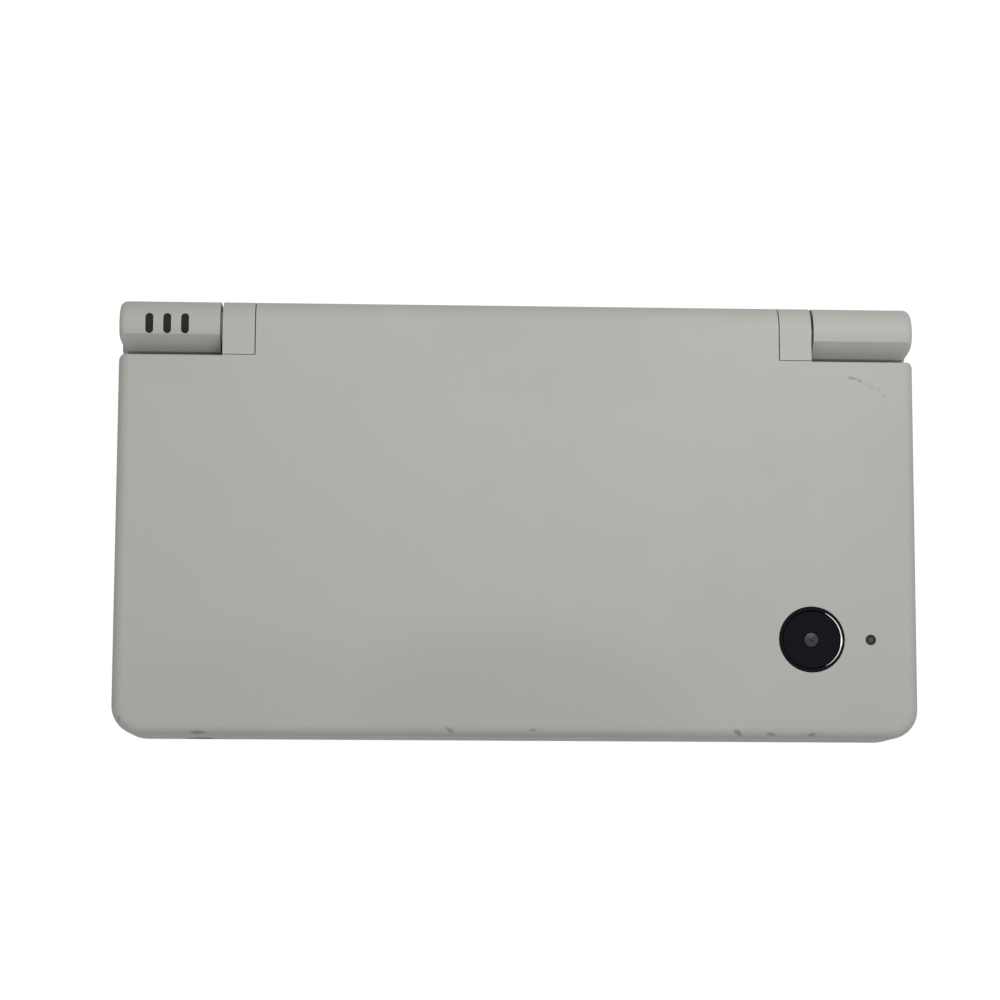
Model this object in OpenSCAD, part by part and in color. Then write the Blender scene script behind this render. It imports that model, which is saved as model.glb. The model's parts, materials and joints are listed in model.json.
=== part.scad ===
// Clamshell handheld game console with two screens, modelled closed and lying flat.
// The lower half (base) and the upper half (lid) are moulded two-part cases that turn
// about one hinge barrel along the back.
// Millimetres. +X right, +Y toward the hinge, +Z up. The origin is on the table,
// under the middle of the closed body.

/* [Outer case] */
// Width of the closed body
body_w = 137; // [136:0.5:146]
// Depth of the closed body, from the front edge to the back of the hinge barrel
body_d = 74.9; // [74.5:0.1:80]
// Height of the lid, from its inner face to its top
lid_h = 7.6; // [7.4:0.1:9]
// Air between the base and the closed lid, held by the rubber bumpers
lid_gap = 0.8; // [0.7:0.05:1.2]
// Radius of the front corners, seen from above
corner_r = 5; // [3.2:0.1:7]
// Radius of the back corners, seen from above
rear_corner_r = 1.3; // [0.8:0.1:1.8]
// Radius of the edge round the top of the lid
lid_edge_r = 2; // [1:0.1:2.8]
// Radius of the edge round the underside of the base
base_edge_r = 2.5; // [1:0.1:3]
// Radius of the small edges where the base and the lid face each other
inner_edge_r = 0.8; // [0.3:0.1:1.2]
// Radius of the edge along the back of the lid, beside the hinge barrel
notch_edge_r = 0.5; // [0.3:0.1:0.7]
// Thickness of the side walls
side_wall = 1.5; // [1.2:0.1:2]
// Thickness of the floor of the bottom case
floor_t = 1.2; // [1:0.1:1.6]
// Thickness of the top face of the base
top_wall = 1.2; // [1:0.1:1.6]
// Thickness of the outer face of the lid
lid_wall = 1.4; // [1.2:0.1:1.7]
// Thickness of the inner face of the lid
lid_floor_t = 1.4; // [1.2:0.1:1.7]
// Height of the bottom case, up to the seam round the base
bottom_case_h = 5.2; // [4.9:0.1:5.4]
// Height of the inner half of the lid, up to the seam round the lid
lid_rim_h = 1.8; // [1.7:0.1:2.2]
// Height of the rubber feet under the base
foot_h = 0.5; // [0.4:0.1:0.8]
// Diameter of the rubber feet
foot_d = 6; // [5:0.5:7]
// Clearance between pieces that lie face to face
fit = 0.1; // [0.05:0.01:0.12]
// Width of the hairline round a panel or cap in the outer face
panel_line = 0.12; // [0.08:0.01:0.2]
// Depth of the groove along the seams between the case halves
seam_depth = 0.4; // [0.2:0.05:0.6]
// Thickness of the ribs inside the cases
rib_t = 0.8; // [0.6:0.1:1.2]

/* [Hinge] */
// Diameter of the hinge barrel
barrel_d = 9; // [8.6:0.1:9.6]
// Length of each outer barrel, which belongs to the base
outer_barrel_l = 17.3; // [16.5:0.1:19]
// Rounding of the outer end of each outer barrel
barrel_end_r = 1.2; // [0.8:0.1:3]
// Radius of the front corner of each outer barrel, seen from above
barrel_corner_r = 5; // [3:0.1:6]
// Depth of the flat facet along the front of each outer barrel
barrel_facet = 0.45; // [0.2:0.05:0.6]
// Air between an outer barrel and the knuckle of the lid
hinge_gap = 0.4; // [0.3:0.05:0.6]
// Air between the back edge of the lid and the outer barrels
notch_gap = 0.9; // [0.8:0.05:1.3]
// Air round the middle barrel in the trough of the base
trough_gap = 0.4; // [0.3:0.05:0.6]
// Width of each hinge cap
cap_w = 5.6; // [5:0.1:7]
// Thickness of each hinge cap
cap_t = 1.2; // [1:0.1:1.4]
// Diameter of the hinge cartridge and of the hinge bush
cartridge_d = 5.6; // [5:0.1:5.8]
// Length of the hinge cartridge
cartridge_l = 14; // [12:0.5:15]
// Diameter of the round shaft that turns in the cartridge
shaft_d = 3; // [2.6:0.1:3.4]
// Diameter of the keyed head of that shaft, which sits in the lid
shaft_head_d = 5; // [4.6:0.1:5.2]
// Radial running clearance of the hinge shaft and bush
run_fit = 0.05; // [0.03:0.01:0.08]
// Opening angle at which the stop in the hinge holds the lid
lid_open_deg = 160; // [150:1:160]

/* [Screens] */
// Width of the picture area of both screens
screen_w = 66; // [62:0.5:68]
// Depth of the picture area of both screens
screen_d = 49.5; // [46:0.5:50]
// Border of a display module outside its picture
display_border = 2.5; // [2:0.1:3]
// Thickness of the lower display
display_t = 1.3; // [1.2:0.1:1.8]
// Thickness of the touch panel
touch_t = 0.8; // [0.7:0.1:1.2]
// Thickness of the upper display
upper_display_t = 1.9; // [1.5:0.1:2.2]
// Thickness of the clear window over the upper display
window_t = 0.7; // [0.5:0.1:0.9]
// Border of that window outside the picture
window_border = 2.5; // [1.5:0.1:3]
// Thickness of the sheet-metal display frames
frame_t = 0.3; // [0.2:0.05:0.4]

/* [Controls] */
// Diameter of the four face buttons
button_d = 7.2; // [6.5:0.1:8]
// Distance of each face button from the middle of the four
button_pitch = 7.6; // [7.4:0.1:8.4]
// Distance of the face buttons and the direction pad from the side of the base
pad_from_side = 16.5; // [15.8:0.1:18]
// Distance of the same two from the front edge
pad_from_front = 43.4; // [42:0.1:46]
// How far the buttons stand above the face of the base
button_proud = 0.5; // [0.3:0.05:0.6]
// Travel of every push button
button_travel = 0.45; // [0.3:0.05:0.5]
// Overall size of the cross-shaped direction pad
dpad_size = 20; // [18:0.2:21]
// Width of one arm of the direction pad
dpad_arm = 6.6; // [6:0.1:7.2]
// How far the direction pad stands above the face of the base
dpad_proud = 0.3; // [0.2:0.05:0.35]
// Diameter of the start, select and power buttons
small_button_d = 4.4; // [4:0.1:5]
// Clearance round a button in its hole
button_gap = 0.2; // [0.15:0.05:0.3]
// Width of each shoulder button
shoulder_w = 24.4; // [22:0.2:25]
// Height of each shoulder button
shoulder_h = 5; // [4.4:0.1:5.1]
// Depth of each shoulder button
shoulder_t = 5.1; // [4.6:0.1:5.4]
// Travel of the outer end of a shoulder button
shoulder_travel = 0.9; // [0.6:0.1:1.1]
// Length of the volume rocker
rocker_l = 16; // [12:0.5:18]
// Height of the volume rocker
rocker_h = 2.4; // [2:0.1:2.6]

/* [Stylus, sockets and slots] */
// Diameter of the stylus
stylus_d = 4.9; // [4.4:0.1:5.2]
// Length of the cap at the outer end of the stylus
stylus_cap_l = 8; // [6:0.5:12]
// Length of the stylus
stylus_l = 92; // [84:1:96]
// Radial clearance of the stylus in its channel
stylus_gap = 0.15; // [0.1:0.05:0.25]
// Wall in front of the stylus channel
front_wall = 1.9; // [1.6:0.1:2.2]
// Bore of the headphone socket, for the usual 3.5 mm plug
jack_d = 3.6; // [3.5:0.05:3.8]
// Length of the bore of the headphone socket
jack_l = 13; // [12:0.5:14]
// Distance of the headphone socket from the left side
jack_from_side = 14.5; // [13.5:0.1:15.5]
// Width of the game card slot
game_slot_w = 33.6; // [33:0.1:35]
// Height of the game card slot
game_slot_h = 4.2; // [4.1:0.05:4.5]
// How deep a game card goes in, from the back face
game_slot_l = 34; // [32:0.5:35]
// Distance of the middle of that slot from the middle of the body
game_slot_x = 20.8; // [20:0.1:22]
// Width of a memory card, along the right side
card_w = 24.2; // [24:0.1:24.6]
// Height of the memory card slot
card_h = 2.3; // [2.2:0.05:2.4]
// How deep a memory card goes in
card_l = 22; // [20:0.5:23]
// Distance of the power socket from the middle of the body, to the left
power_x = 22; // [18:0.5:26]
// Width of the opening of the power socket
power_w = 6.4; // [6:0.1:7]
// Height of the opening of the power socket
power_h = 2.6; // [2.2:0.1:3]

/* [Battery and board] */
// Width of the battery
battery_w = 50; // [46:0.5:52]
// Depth of the battery
battery_d = 32; // [28:0.5:34]
// Thickness of the battery
battery_t = 3.8; // [3.6:0.1:4.6]
// Thickness of the battery cover
cover_t = 1; // [0.8:0.1:1.1]
// Thickness of the roof over the battery bay
roof_t = 0.5; // [0.4:0.1:0.8]
// Thickness of the main board
board_t = 0.8; // [0.6:0.1:1.2]
// Diameter of the screw shanks
screw_d = 1.7; // [1.4:0.1:2]
// Diameter of the screw heads
screw_head_d = 3.4; // [3:0.1:3.6]
// Height of the screw heads
screw_head_h = 0.8; // [0.6:0.1:1]

/* [Cameras and lights] */
// Diameter of the ring round the outer camera window
camera_d = 11.2; // [10:0.05:12]
// Width of that ring
camera_ring_w = 0.6; // [0.5:0.05:0.8]
// Distance of the outer camera from the right side
camera_from_side = 18.25; // [17.5:0.05:19.5]
// Distance of the outer camera from the front edge
camera_from_front = 16.8; // [16.5:0.1:17.6]
// Diameter of the camera lamp
lamp_d = 1.7; // [1.4:0.1:2]
// Distance of the lamp from the outer camera
lamp_pitch = 10.1; // [9:0.1:11]
// Width of one status light window
status_w = 1.24; // [1:0.02:1.6]
// Length of one status light window
status_l = 3.4; // [2.6:0.1:3.8]
// Distance from one status light window to the next
status_pitch = 3.05; // [2.6:0.01:3.2]
// Distance of the outermost status light window from the left side
status_from_side = 5.2; // [5:0.05:6.5]

/* [Hidden] */
$fn = 48;

// Colours, as the photograph shows them
case_grey = [0.69, 0.69, 0.67];
inner_grey = [0.66, 0.66, 0.64];
dark = [0.16, 0.16, 0.15];
glass_black = [0.08, 0.08, 0.09];
metal = [0.72, 0.72, 0.74];
green = [0.16, 0.38, 0.24];
rubber = [0.45, 0.45, 0.44];
key_grey = [0.68, 0.68, 0.66];

// Overshoot of a cut past the face that it opens
cut = 1;

// Sides of the closed body
side = body_w / 2;
front = -body_d / 2;
rear = body_d / 2;

// Heights in the base, from the table up
case_z0 = foot_h;
floor_z = case_z0 + floor_t;
cover_z1 = case_z0 + cover_t;
battery_z0 = cover_z1 + fit;
battery_z1 = battery_z0 + battery_t;
roof_z0 = battery_z1 + fit;
roof_z1 = roof_z0 + roof_t;
slot_z0 = floor_z + fit;
slot_z1 = slot_z0 + game_slot_h;
board_z0 = max(roof_z1, slot_z1) + fit;
board_z1 = board_z0 + board_t;
display_z0 = board_z1 + fit;
display_z1 = display_z0 + display_t;
touch_z0 = display_z1 + fit;
touch_z1 = touch_z0 + touch_t;
ceiling_z = touch_z1 + fit;
base_z1 = ceiling_z + top_wall;
split_z = case_z0 + bottom_case_h;

// Heights in the lid
lid_z0 = base_z1 + lid_gap;
lid_z1 = lid_z0 + lid_h;
lid_split_z = lid_z0 + lid_rim_h;
lid_floor_z = lid_z0 + lid_floor_t;
lid_ceiling_z = lid_z1 - lid_wall;

// Hinge
barrel_r = barrel_d / 2;
axis_y = rear - barrel_r;
axis_z = lid_z1 - barrel_r;
barrel_x0 = side - outer_barrel_l;
knuckle_x1 = barrel_x0 - hinge_gap;
cap_x0 = knuckle_x1 - cap_w;
lid_rear = axis_y - barrel_r - notch_gap;
trough_r = barrel_r + trough_gap;
cartridge_bore_r = cartridge_d / 2 + run_fit;
// Height of the key flat of the cartridge above its axis
key_flat = 2.2;
bush_wall = 0.8;
// End walls of the hollow middle barrel, and half the length of its hollow
knuckle_wall = 1.4;
knuckle_hollow_x = cap_x0 - knuckle_wall;
// Shaft: its head inside the cap, and the cartridge left free behind its end
shaft_head_in = 0.3;
shaft_head_play = 0.1;
shaft_key_flat = key_flat - 0.3;
shaft_end_gap = 4;
// Direction of the barrel facet round the axis, from the back upwards
facet_deg = 140;
// Stop of the hinge: a lug on the shaft that runs in a slot of the cartridge
stop_lug_deg = 18;
stop_lug_from = 281;
stop_lug_r = [1.95, 2.35];
stop_play_deg = 1;
stop_depth = 1.2;
ribbon_wall = 0.5;
// Ribbon cable: length of its roll, how far that reaches into the bush, and its flat end
ribbon_roll_l = 12;
ribbon_roll_in = 3;
ribbon_t = 0.2;
ribbon_end = [8, 6];

// Stylus channel, and the room behind it
channel_r = stylus_d / 2 + stylus_gap;
stylus_y = front + front_wall + channel_r;
stylus_z = floor_z + channel_r;
inner_front = stylus_y + channel_r + 0.35;
inner_rear = axis_y - trough_r - fit / 2;
inner_x = side - side_wall;

// Screens
display_w = screen_w + 2 * display_border;
display_d = screen_d + 2 * display_border - 0.5;
aperture_w = screen_w + 0.6;
aperture_d = screen_d + 0.6;
screen_y = inner_front + frame_t + fit + display_d / 2;
upper_w = screen_w + 9;
upper_d = screen_d + 8;
upper_y = screen_y - 1.4;
display_back_z = lid_floor_z + upper_display_t + fit + frame_t;
window_w = screen_w + 2 * window_border;
window_d = screen_d + 2 * window_border;

// Controls
pad_x = side - pad_from_side;
pad_y = front + pad_from_front;
flange_t = 0.55;
flange_z1 = ceiling_z - 1.5 * fit;
flange_z0 = flange_z1 - flange_t;
membrane_z0 = board_z1 + fit / 2;
membrane_z1 = flange_z0 - fit / 2;
small_x = side - 22;
start_pos = [small_x + 1, front + 20.5];
select_pos = [small_x + 1, front + 13.6];
power_pos = [-(side - 22.5), front + 14.5];
dpad_flange_z1 = ceiling_z - 0.65;
dpad_flange_t = 0.6;
dpad_flange_r = dpad_size / 2 - 0.5;
dpad_pivot_z = board_z1 + fit;
// How far the end of each arm lies below the middle of the pad
dpad_fall = 0.35;
dpad_dish_r = 20;

// Shoulder buttons, at the back corners under the outer barrels
shoulder_x0 = side - shoulder_w - fit;
shoulder_z0 = case_z0 + 3;
shoulder_z1 = shoulder_z0 + shoulder_h;
shoulder_gap = 0.2;
shoulder_pin_r = 0.8;
shoulder_pin_x = shoulder_x0 + 2.1;
shoulder_pin_y = rear - 3.2;
shoulder_back = rear - shoulder_t - shoulder_travel - 0.2;
spring_h = 1.2;

// Volume rocker, in the left wall of the top case
rocker_y = pad_y + 3;
rocker_z0 = split_z + 0.4;
rocker_pivot_x = -(side - 2.1);
rocker_dish_r = 20;
rocker_dish = 0.2;

// Memory card slot, in the right side
card_y0 = front + 38.5;
card_y1 = card_y0 + card_w;
card_z1 = split_z - 0.15;
card_z0 = card_z1 - card_h;
flap_t = 1;
flap_y0 = card_y0 - 1.2;
flap_y1 = card_y1 + 1;
flap_z0 = card_z0 - 0.6;
flap_z1 = card_z1 + 0.6;
flap_pivot_x = side - flap_t / 2;
// Nail notch near the free end of the cover
nail_r = 6;
nail_depth = 0.4;
socket_wall = 1.2;

// Headphone socket, in the front edge
jack_x = -(side - jack_from_side);
jack_z = split_z;
jack_block_w = 7;
jack_wall = 1.5;
jack_block_h = 5.4;
jack_collar_r = 2.75;
jack_depth = jack_l + 0.6;

// Power socket, in the back face
power_block_w = power_w + 2.6;
power_block_h = power_h + 1.8;
power_z = split_z + 0.2;
power_l = 7;
power_tongue_t = 0.7;

// Battery bay
bay_x1 = game_slot_x - game_slot_w / 2 - 4;
bay_x0 = bay_x1 - battery_w;
bay_y0 = front + 17.4;
bay_y1 = bay_y0 + battery_d;
bay_wall = 0.9;
cover_ear = 6.4;
cover_screw_x = [bay_x0 - 3.6, bay_x1 + 3.4];
cover_screw_y = bay_y0 + battery_d / 2 - 2.5;

// Screws
screw_r = screw_d / 2;
head_r = screw_head_d / 2;
post_r = 1.9;
screw_from_side = 6;
case_screw_at = [[-(side - screw_from_side), front + 13.4], [side - screw_from_side, front + 12.4],
    [-(side - screw_from_side), inner_rear - 3],
    [game_slot_x + game_slot_w / 2 + 3.1, rear - 7], [-(power_x + 12), rear - 7],
    [side - 28.5, inner_front + 3], [-(side - 28.5), inner_front + 3]];
case_head_z = case_z0 + 2.2;
case_screw_top = ceiling_z - 0.6;
lid_screw_at = [for (x = [-1, 1], y = [front + screw_from_side, lid_rear - 5])
    [x * (side - screw_from_side), y]];
bumper_r = 2.5;
dome_wall = 0.6;
dome_skirt = 0.8;
hex_r = 0.8;
bumper_in = 0.45;
lid_seat_z = lid_z0 + bumper_in + screw_head_h + fit;
lid_boss_z = lid_seat_z + 0.9;

// Cameras and lights
camera_x = side - camera_from_side;
camera_y = front + camera_from_front;
camera_r = camera_d / 2;
camera_window_t = 0.7;
// How deep the window lies in its ring, and the flat land on top of the ring
camera_recess = 0.4;
camera_land = 0.35;
camera_block = 8.4;
lamp_x = camera_x + lamp_pitch;
lamp_r = lamp_d / 2;
status_x = [for (i = [0:2]) -(side - status_from_side) + i * status_pitch];
status_depth = 3.4;
status_bar_h = 0.8;
// Bush of the cable, from just inside the status lights to inside the knuckle of the lid
bush_x0 = status_x[2] + status_w / 2 + fit / 2 + 0.35;
bush_x1 = -barrel_x0 + 5.1;
inner_camera_r = 2.1;
inner_camera_z = axis_z - sqrt(barrel_r * barrel_r - inner_camera_r * inner_camera_r) - 0.02;
mic_x = 9;
mic_r = 2;

// Speakers
speaker_x = side - 15.5;
speaker_y = upper_y - 1;
speaker_w = 14;
speaker_d = 20;
speaker_t = 3;

// Draws its children, laid out in the Y-Z plane, along +X from x0
module along_x(x0) {
    translate([x0, 0, 0]) rotate([90, 0, 90]) children();
}

// Rectangle with round corners, centred
module round_rect(w, d, r) {
    square([w - 2 * r, d], center = true);
    square([w, d - 2 * r], center = true);
    for (x = [-1, 1], y = [-1, 1]) translate([x * (w / 2 - r), y * (d / 2 - r)]) circle(r);
}

// Section through the rim of a case half: w wide, h high, its upper outer edge rounded by e
module rim_section(w, h, e) {
    difference() {
        square([w, h]);
        translate([w - e, h - e]) difference() {
            square(e + cut);
            circle(e);
        }
    }
}

// Plan or side view of a back corner to cut away: a square corner less its round
module corner_waste(r) {
    difference() {
        square(r + cut);
        circle(r);
    }
}

// Case half between two heights, cut square at y_end. The rim at the top (up = true) or
// at the bottom is rounded by e along the front and the sides.
module case_plate(y_end, z0, z1, e, up) {
    h = z1 - z0;
    inner_w = side - corner_r;
    inner_d = y_end - front - corner_r;
    translate([0, 0, up ? z0 : z1]) mirror([0, 0, up ? 0 : 1]) {
        for (s = [0, 1]) mirror([s, 0, 0]) {
            translate([inner_w, front + corner_r, 0]) rotate([0, 0, 270])
                rotate_extrude(angle = 90) rim_section(corner_r, h, e);
            translate([inner_w, y_end, 0]) rotate([90, 0, 0])
                linear_extrude(inner_d) rim_section(corner_r, h, e);
        }
        translate([-inner_w, front + corner_r, 0]) mirror([0, 1, 0]) rotate([90, 0, 90])
            linear_extrude(2 * inner_w) rim_section(corner_r, h, e);
        translate([-inner_w, front + corner_r, 0]) cube([2 * inner_w, inner_d, h]);
    }
}

// Waste outside the round back corners, from z0 to z1
module rear_corner_waste(y_end, z0, z1) {
    for (s = [0, 1]) mirror([s, 0, 0])
        translate([side - rear_corner_r, y_end - rear_corner_r, z0 - cut])
            linear_extrude(z1 - z0 + 2 * cut) corner_waste(rear_corner_r);
}

// Waste outside a rounded back edge at height z; up = true for an upper edge
module rear_edge_waste(y_end, z, r, up) {
    translate([0, y_end - r, up ? z - r : z + r]) mirror([0, 0, up ? 0 : 1])
        along_x(-side - cut) linear_extrude(body_w + 2 * cut) corner_waste(r);
}

// Plan of a case, set in by inset, without its back corners
module case_outline(y_end, inset) {
    translate([-side + inset, front + corner_r])
        square([body_w - 2 * inset, y_end - front - corner_r]);
    translate([-side + corner_r, front + inset]) square([body_w - 2 * corner_r, corner_r]);
    for (x = [-1, 1]) translate([x * (side - corner_r), front + corner_r])
        circle(corner_r - inset);
}

// Groove along a seam, round the front and the sides, above height z
module seam_groove(y_end, z) {
    translate([0, 0, z]) linear_extrude(panel_line) difference() {
        translate([-side - cut, front - cut]) square([body_w + 2 * cut, y_end - front + cut]);
        case_outline(y_end, seam_depth);
    }
}

// Cylinder along X
module rod_x(x0, l, r) {
    along_x(x0) cylinder(h = l, r = r);
}

// Places its children at the hinge axis
module at_axis() {
    translate([0, axis_y, axis_z]) children();
}

// Round cartridge section with one key flat
module keyed_round(r, flat) {
    difference() {
        circle(r);
        translate([-r, flat]) square([2 * r, r]);
    }
}

// Push button with a flange that the case holds in
module push_button(pos, d, proud, flange) {
    translate([pos[0], pos[1], flange_z0]) rotate_extrude() {
        rim_section(d / 2, base_z1 + proud - flange_z0, 0.4);
        square([d / 2 + flange, flange_t]);
    }
}

// Rubber dome with its skirt, under one button
module dome(pos, d) {
    translate([pos[0], pos[1], membrane_z0]) difference() {
        union() {
            cylinder(h = membrane_z1 - membrane_z0, d = d);
            cylinder(h = 0.5, d = d + 2 * dome_skirt);
        }
        translate([0, 0, -cut]) cylinder(h = cut + button_travel + 0.25, d = d - 2 * dome_wall);
    }
}

// Screw standing on its head, point up
module screw(pos, z_head, z_top) {
    translate([pos[0], pos[1], z_head]) {
        difference() {
            cylinder(h = screw_head_h, r = head_r);
            translate([0, 0, -cut]) cylinder(h = cut + screw_head_h / 2, r = hex_r, $fn = 6);
        }
        translate([0, 0, screw_head_h]) cylinder(h = z_top - z_head - screw_head_h, r = screw_r);
    }
}

// Four face buttons, in the order right, lower, upper, left
function face_pos(dir) = [pad_x + dir[0] * button_pitch, pad_y + dir[1] * button_pitch];

// Room in both halves of the base for what passes through their seam
module base_pockets() {
    // stylus channel, open on the right
    rod_len = stylus_l + 0.6;
    translate([0, stylus_y, stylus_z]) rod_x(side - rod_len, rod_len + cut, channel_r);
    // headphone socket
    translate([jack_x - jack_block_w / 2 - fit, front + jack_wall, jack_z - jack_block_h / 2 - fit])
        cube([jack_block_w + 2 * fit, jack_depth + 1, jack_block_h + 2 * fit]);
    translate([jack_x, front - cut, jack_z]) rotate([-90, 0, 0])
        cylinder(h = 3, r = jack_collar_r + fit);
    // game card slot
    translate([game_slot_x - game_slot_w / 2, inner_rear - cut, slot_z0])
        cube([game_slot_w, rear - inner_rear + 2 * cut, game_slot_h]);
    // power socket
    translate([-power_x, rear - power_l - fit, power_z]) {
        translate([-power_block_w / 2 - fit, 0, -power_block_h / 2 - fit])
            cube([power_block_w + 2 * fit, power_l + fit + cut, power_block_h + 2 * fit]);
    }
    // shoulder buttons
    for (s = [0, 1]) mirror([s, 0, 0]) {
        translate([shoulder_x0 - 0.25, shoulder_back, shoulder_z0 - shoulder_gap])
            cube([shoulder_w + cut + 0.5, rear - shoulder_back + cut, shoulder_h + 2 * shoulder_gap]);
        translate([shoulder_pin_x, shoulder_pin_y, shoulder_z0 - 1.3])
            cylinder(h = shoulder_h + 2.1, r = shoulder_pin_r + run_fit);
    }
    // memory card slot and its cover
    translate([inner_x - cut, card_y0, card_z0]) cube([side_wall + 2 * cut, card_w, card_h]);
    translate([side - flap_t - fit, flap_y0 - fit, flap_z0 - fit])
        cube([flap_t + fit + cut, flap_y1 - flap_y0 + 2 * fit, flap_z1 - flap_z0 + 2 * fit]);
}

module bottom_case() {
    color(case_grey) difference() {
        union() {
            difference() {
                case_plate(rear, case_z0, split_z, base_edge_r, false);
                rear_corner_waste(rear, case_z0, split_z);
                rear_edge_waste(rear, case_z0, 1.6, false);
                translate([-inner_x, inner_front, floor_z])
                    cube([2 * inner_x, inner_rear - inner_front, split_z]);
            }
            // battery bay
            translate([bay_x0 - bay_wall - fit, bay_y0 - bay_wall - fit, floor_z - fit])
                cube([battery_w + 2 * bay_wall + 2 * fit, battery_d + 2 * bay_wall + 2 * fit,
                    roof_z1 - floor_z + fit]);
            // bosses
            for (p = case_screw_at) if (p[1] < inner_rear)
                translate([p[0], p[1], floor_z - fit])
                    cylinder(h = split_z - floor_z + fit, r = post_r + 0.4);
            for (x = cover_screw_x)
                translate([x, cover_screw_y, floor_z - fit]) cylinder(h = 3.2, r = post_r);
            floor_ribs();
        }
        base_pockets();
        // recess for the battery cover, and the bay
        battery_cover_shape(cover_t + cut, case_z0 - cut, fit);
        translate([bay_x0 - fit, bay_y0 - fit, case_z0])
            cube([battery_w + 2 * fit, battery_d + 2 * fit, roof_z0 - case_z0]);
        for (x = cover_screw_x) translate([x, cover_screw_y, case_z0])
            cylinder(h = 4.2, r = screw_r + run_fit);
        // case screws
        for (p = case_screw_at) translate([p[0], p[1], case_z0 - cut]) {
            cylinder(h = case_head_z + screw_head_h + fit - case_z0 + cut, r = head_r + fit);
            cylinder(h = split_z - case_z0 + 2 * cut, r = screw_r + fit);
        }
        // rubber feet
        for (p = foot_at()) translate([p[0], p[1], case_z0 - cut])
            cylinder(h = cut + 0.4, r = foot_d / 2 + fit / 2);
        // wrist strap passage round a bar in the lower back edge
        translate([-(side - 28.5), rear - 4, case_z0 - cut]) cube([4, 1.8, 3.6 + cut]);
        translate([-(side - 28.5), rear - 4, case_z0 + 2]) cube([4, 4 + cut, 1.6]);
    }
}

// Ribs on the floor, left of the battery bay, that carry the edge of the board
module floor_ribs() {
    x1 = bay_x0 - bay_wall;
    h = board_z0 - fit - floor_z;
    for (y = [bay_y0 + 4, bay_y0 + battery_d / 2 + 5, bay_y1 - 1])
        translate([-inner_x, y, floor_z - fit]) cube([x1 + inner_x + fit, rib_t, h + fit]);
}

function foot_at() = [for (x = [-1, 1], y = [front + 7.5, rear - 11])
    [x * (side - 13.5), y]];

// Outline of the battery cover, widened by gap on all sides
module battery_cover_shape(h, z0, gap) {
    x0 = bay_x0 - cover_ear;
    w = battery_w + 2 * cover_ear;
    translate([x0 + w / 2, (bay_y0 + bay_y1) / 2, z0])
        linear_extrude(h) round_rect(w + 2 * gap, battery_d + 3 + 2 * gap, 2.5);
}

module top_case() {
    color(case_grey) difference() {
        union() {
            difference() {
                case_plate(rear, split_z, base_z1, inner_edge_r, true);
                rear_corner_waste(rear, split_z, base_z1);
                translate([-inner_x, inner_front, split_z - cut])
                    cube([2 * inner_x, inner_rear - inner_front, ceiling_z - split_z + cut]);
                at_axis() rod_x(-barrel_x0, 2 * barrel_x0, trough_r);
            }
            for (p = case_screw_at) if (p[1] < inner_rear)
                translate([p[0], p[1], split_z]) cylinder(h = ceiling_z - split_z + fit, r = post_r);
            for (s = [0, 1]) mirror([s, 0, 0]) outer_barrel();
        }
        base_pockets();
        seam_groove(rear - 2 * rear_corner_r, split_z);
        // case screws
        for (p = case_screw_at) translate([p[0], p[1], split_z - cut])
            cylinder(h = case_screw_top + 0.2 - split_z + cut, r = screw_r + run_fit);
        // lower screen
        translate([0, screen_y, ceiling_z - cut])
            linear_extrude(top_wall + 2 * cut) round_rect(aperture_w, aperture_d, 0.6);
        // buttons
        for (d = [[1, 0], [0, -1], [0, 1], [-1, 0]])
            translate([face_pos(d)[0], face_pos(d)[1], ceiling_z - cut])
                cylinder(h = top_wall + 2 * cut, d = button_d + 2 * button_gap);
        for (p = [start_pos, select_pos, power_pos])
            translate([p[0], p[1], ceiling_z - cut])
                cylinder(h = top_wall + 2 * cut, d = small_button_d + 2 * button_gap);
        translate([-pad_x, pad_y, ceiling_z - cut])
            linear_extrude(top_wall + 2 * cut) cross_outline(0.35);
        // volume rocker
        translate([-side - cut, rocker_y - rocker_l / 2 - button_gap, rocker_z0 - button_gap])
            cube([side_wall + 2 * cut, rocker_l + 2 * button_gap, rocker_h + 2 * button_gap]);
        // hinge cartridge on the right, bush on the left
        at_axis() along_x(barrel_x0 - cut) linear_extrude(cartridge_l + cut + 0.2)
            keyed_round(cartridge_bore_r, key_flat + run_fit);
        at_axis() rod_x(bush_x0 - fit, -barrel_x0 - bush_x0 + fit + cut, cartridge_bore_r);
        // status light windows
        status_guide(fit / 2, cut);
    }
}

// Outer barrel of the hinge on the right: a half-round crown on a neck with the same outline,
// with a facet along its front and a wide round corner
module outer_barrel() {
    neck_z = base_z1 - inner_edge_r;
    difference() {
        union() {
            at_axis() along_x(barrel_x0) rotate_extrude(angle = 180) barrel_half();
            translate([barrel_x0, axis_y, neck_z]) linear_extrude(axis_z - neck_z)
                for (s = [0, 1]) rotate([0, 0, 90]) mirror([s, 0, 0]) mirror([0, 1, 0]) barrel_half();
        }
        at_axis() along_x(barrel_x0 - cut) linear_extrude(outer_barrel_l + 2 * cut)
            rotate(facet_deg) translate([barrel_r - barrel_facet, -barrel_r])
                square([barrel_r, 2 * barrel_r]);
        translate([side - barrel_corner_r, axis_y - barrel_end_r, base_z1])
            linear_extrude(barrel_d + cut) mirror([0, 1]) corner_waste(barrel_corner_r);
    }
}

// Half of a lengthwise section through the outer barrel, from its axis out
module barrel_half() {
    difference() {
        square([barrel_r, outer_barrel_l]);
        translate([barrel_r - barrel_end_r, outer_barrel_l - barrel_end_r]) corner_waste(barrel_end_r);
    }
}

// Outline of the direction pad, widened by gap
module cross_outline(gap) {
    round_rect(dpad_size + 2 * gap, dpad_arm + 2 * gap, 0.9);
    round_rect(dpad_arm + 2 * gap, dpad_size + 2 * gap, 0.9);
}

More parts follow.
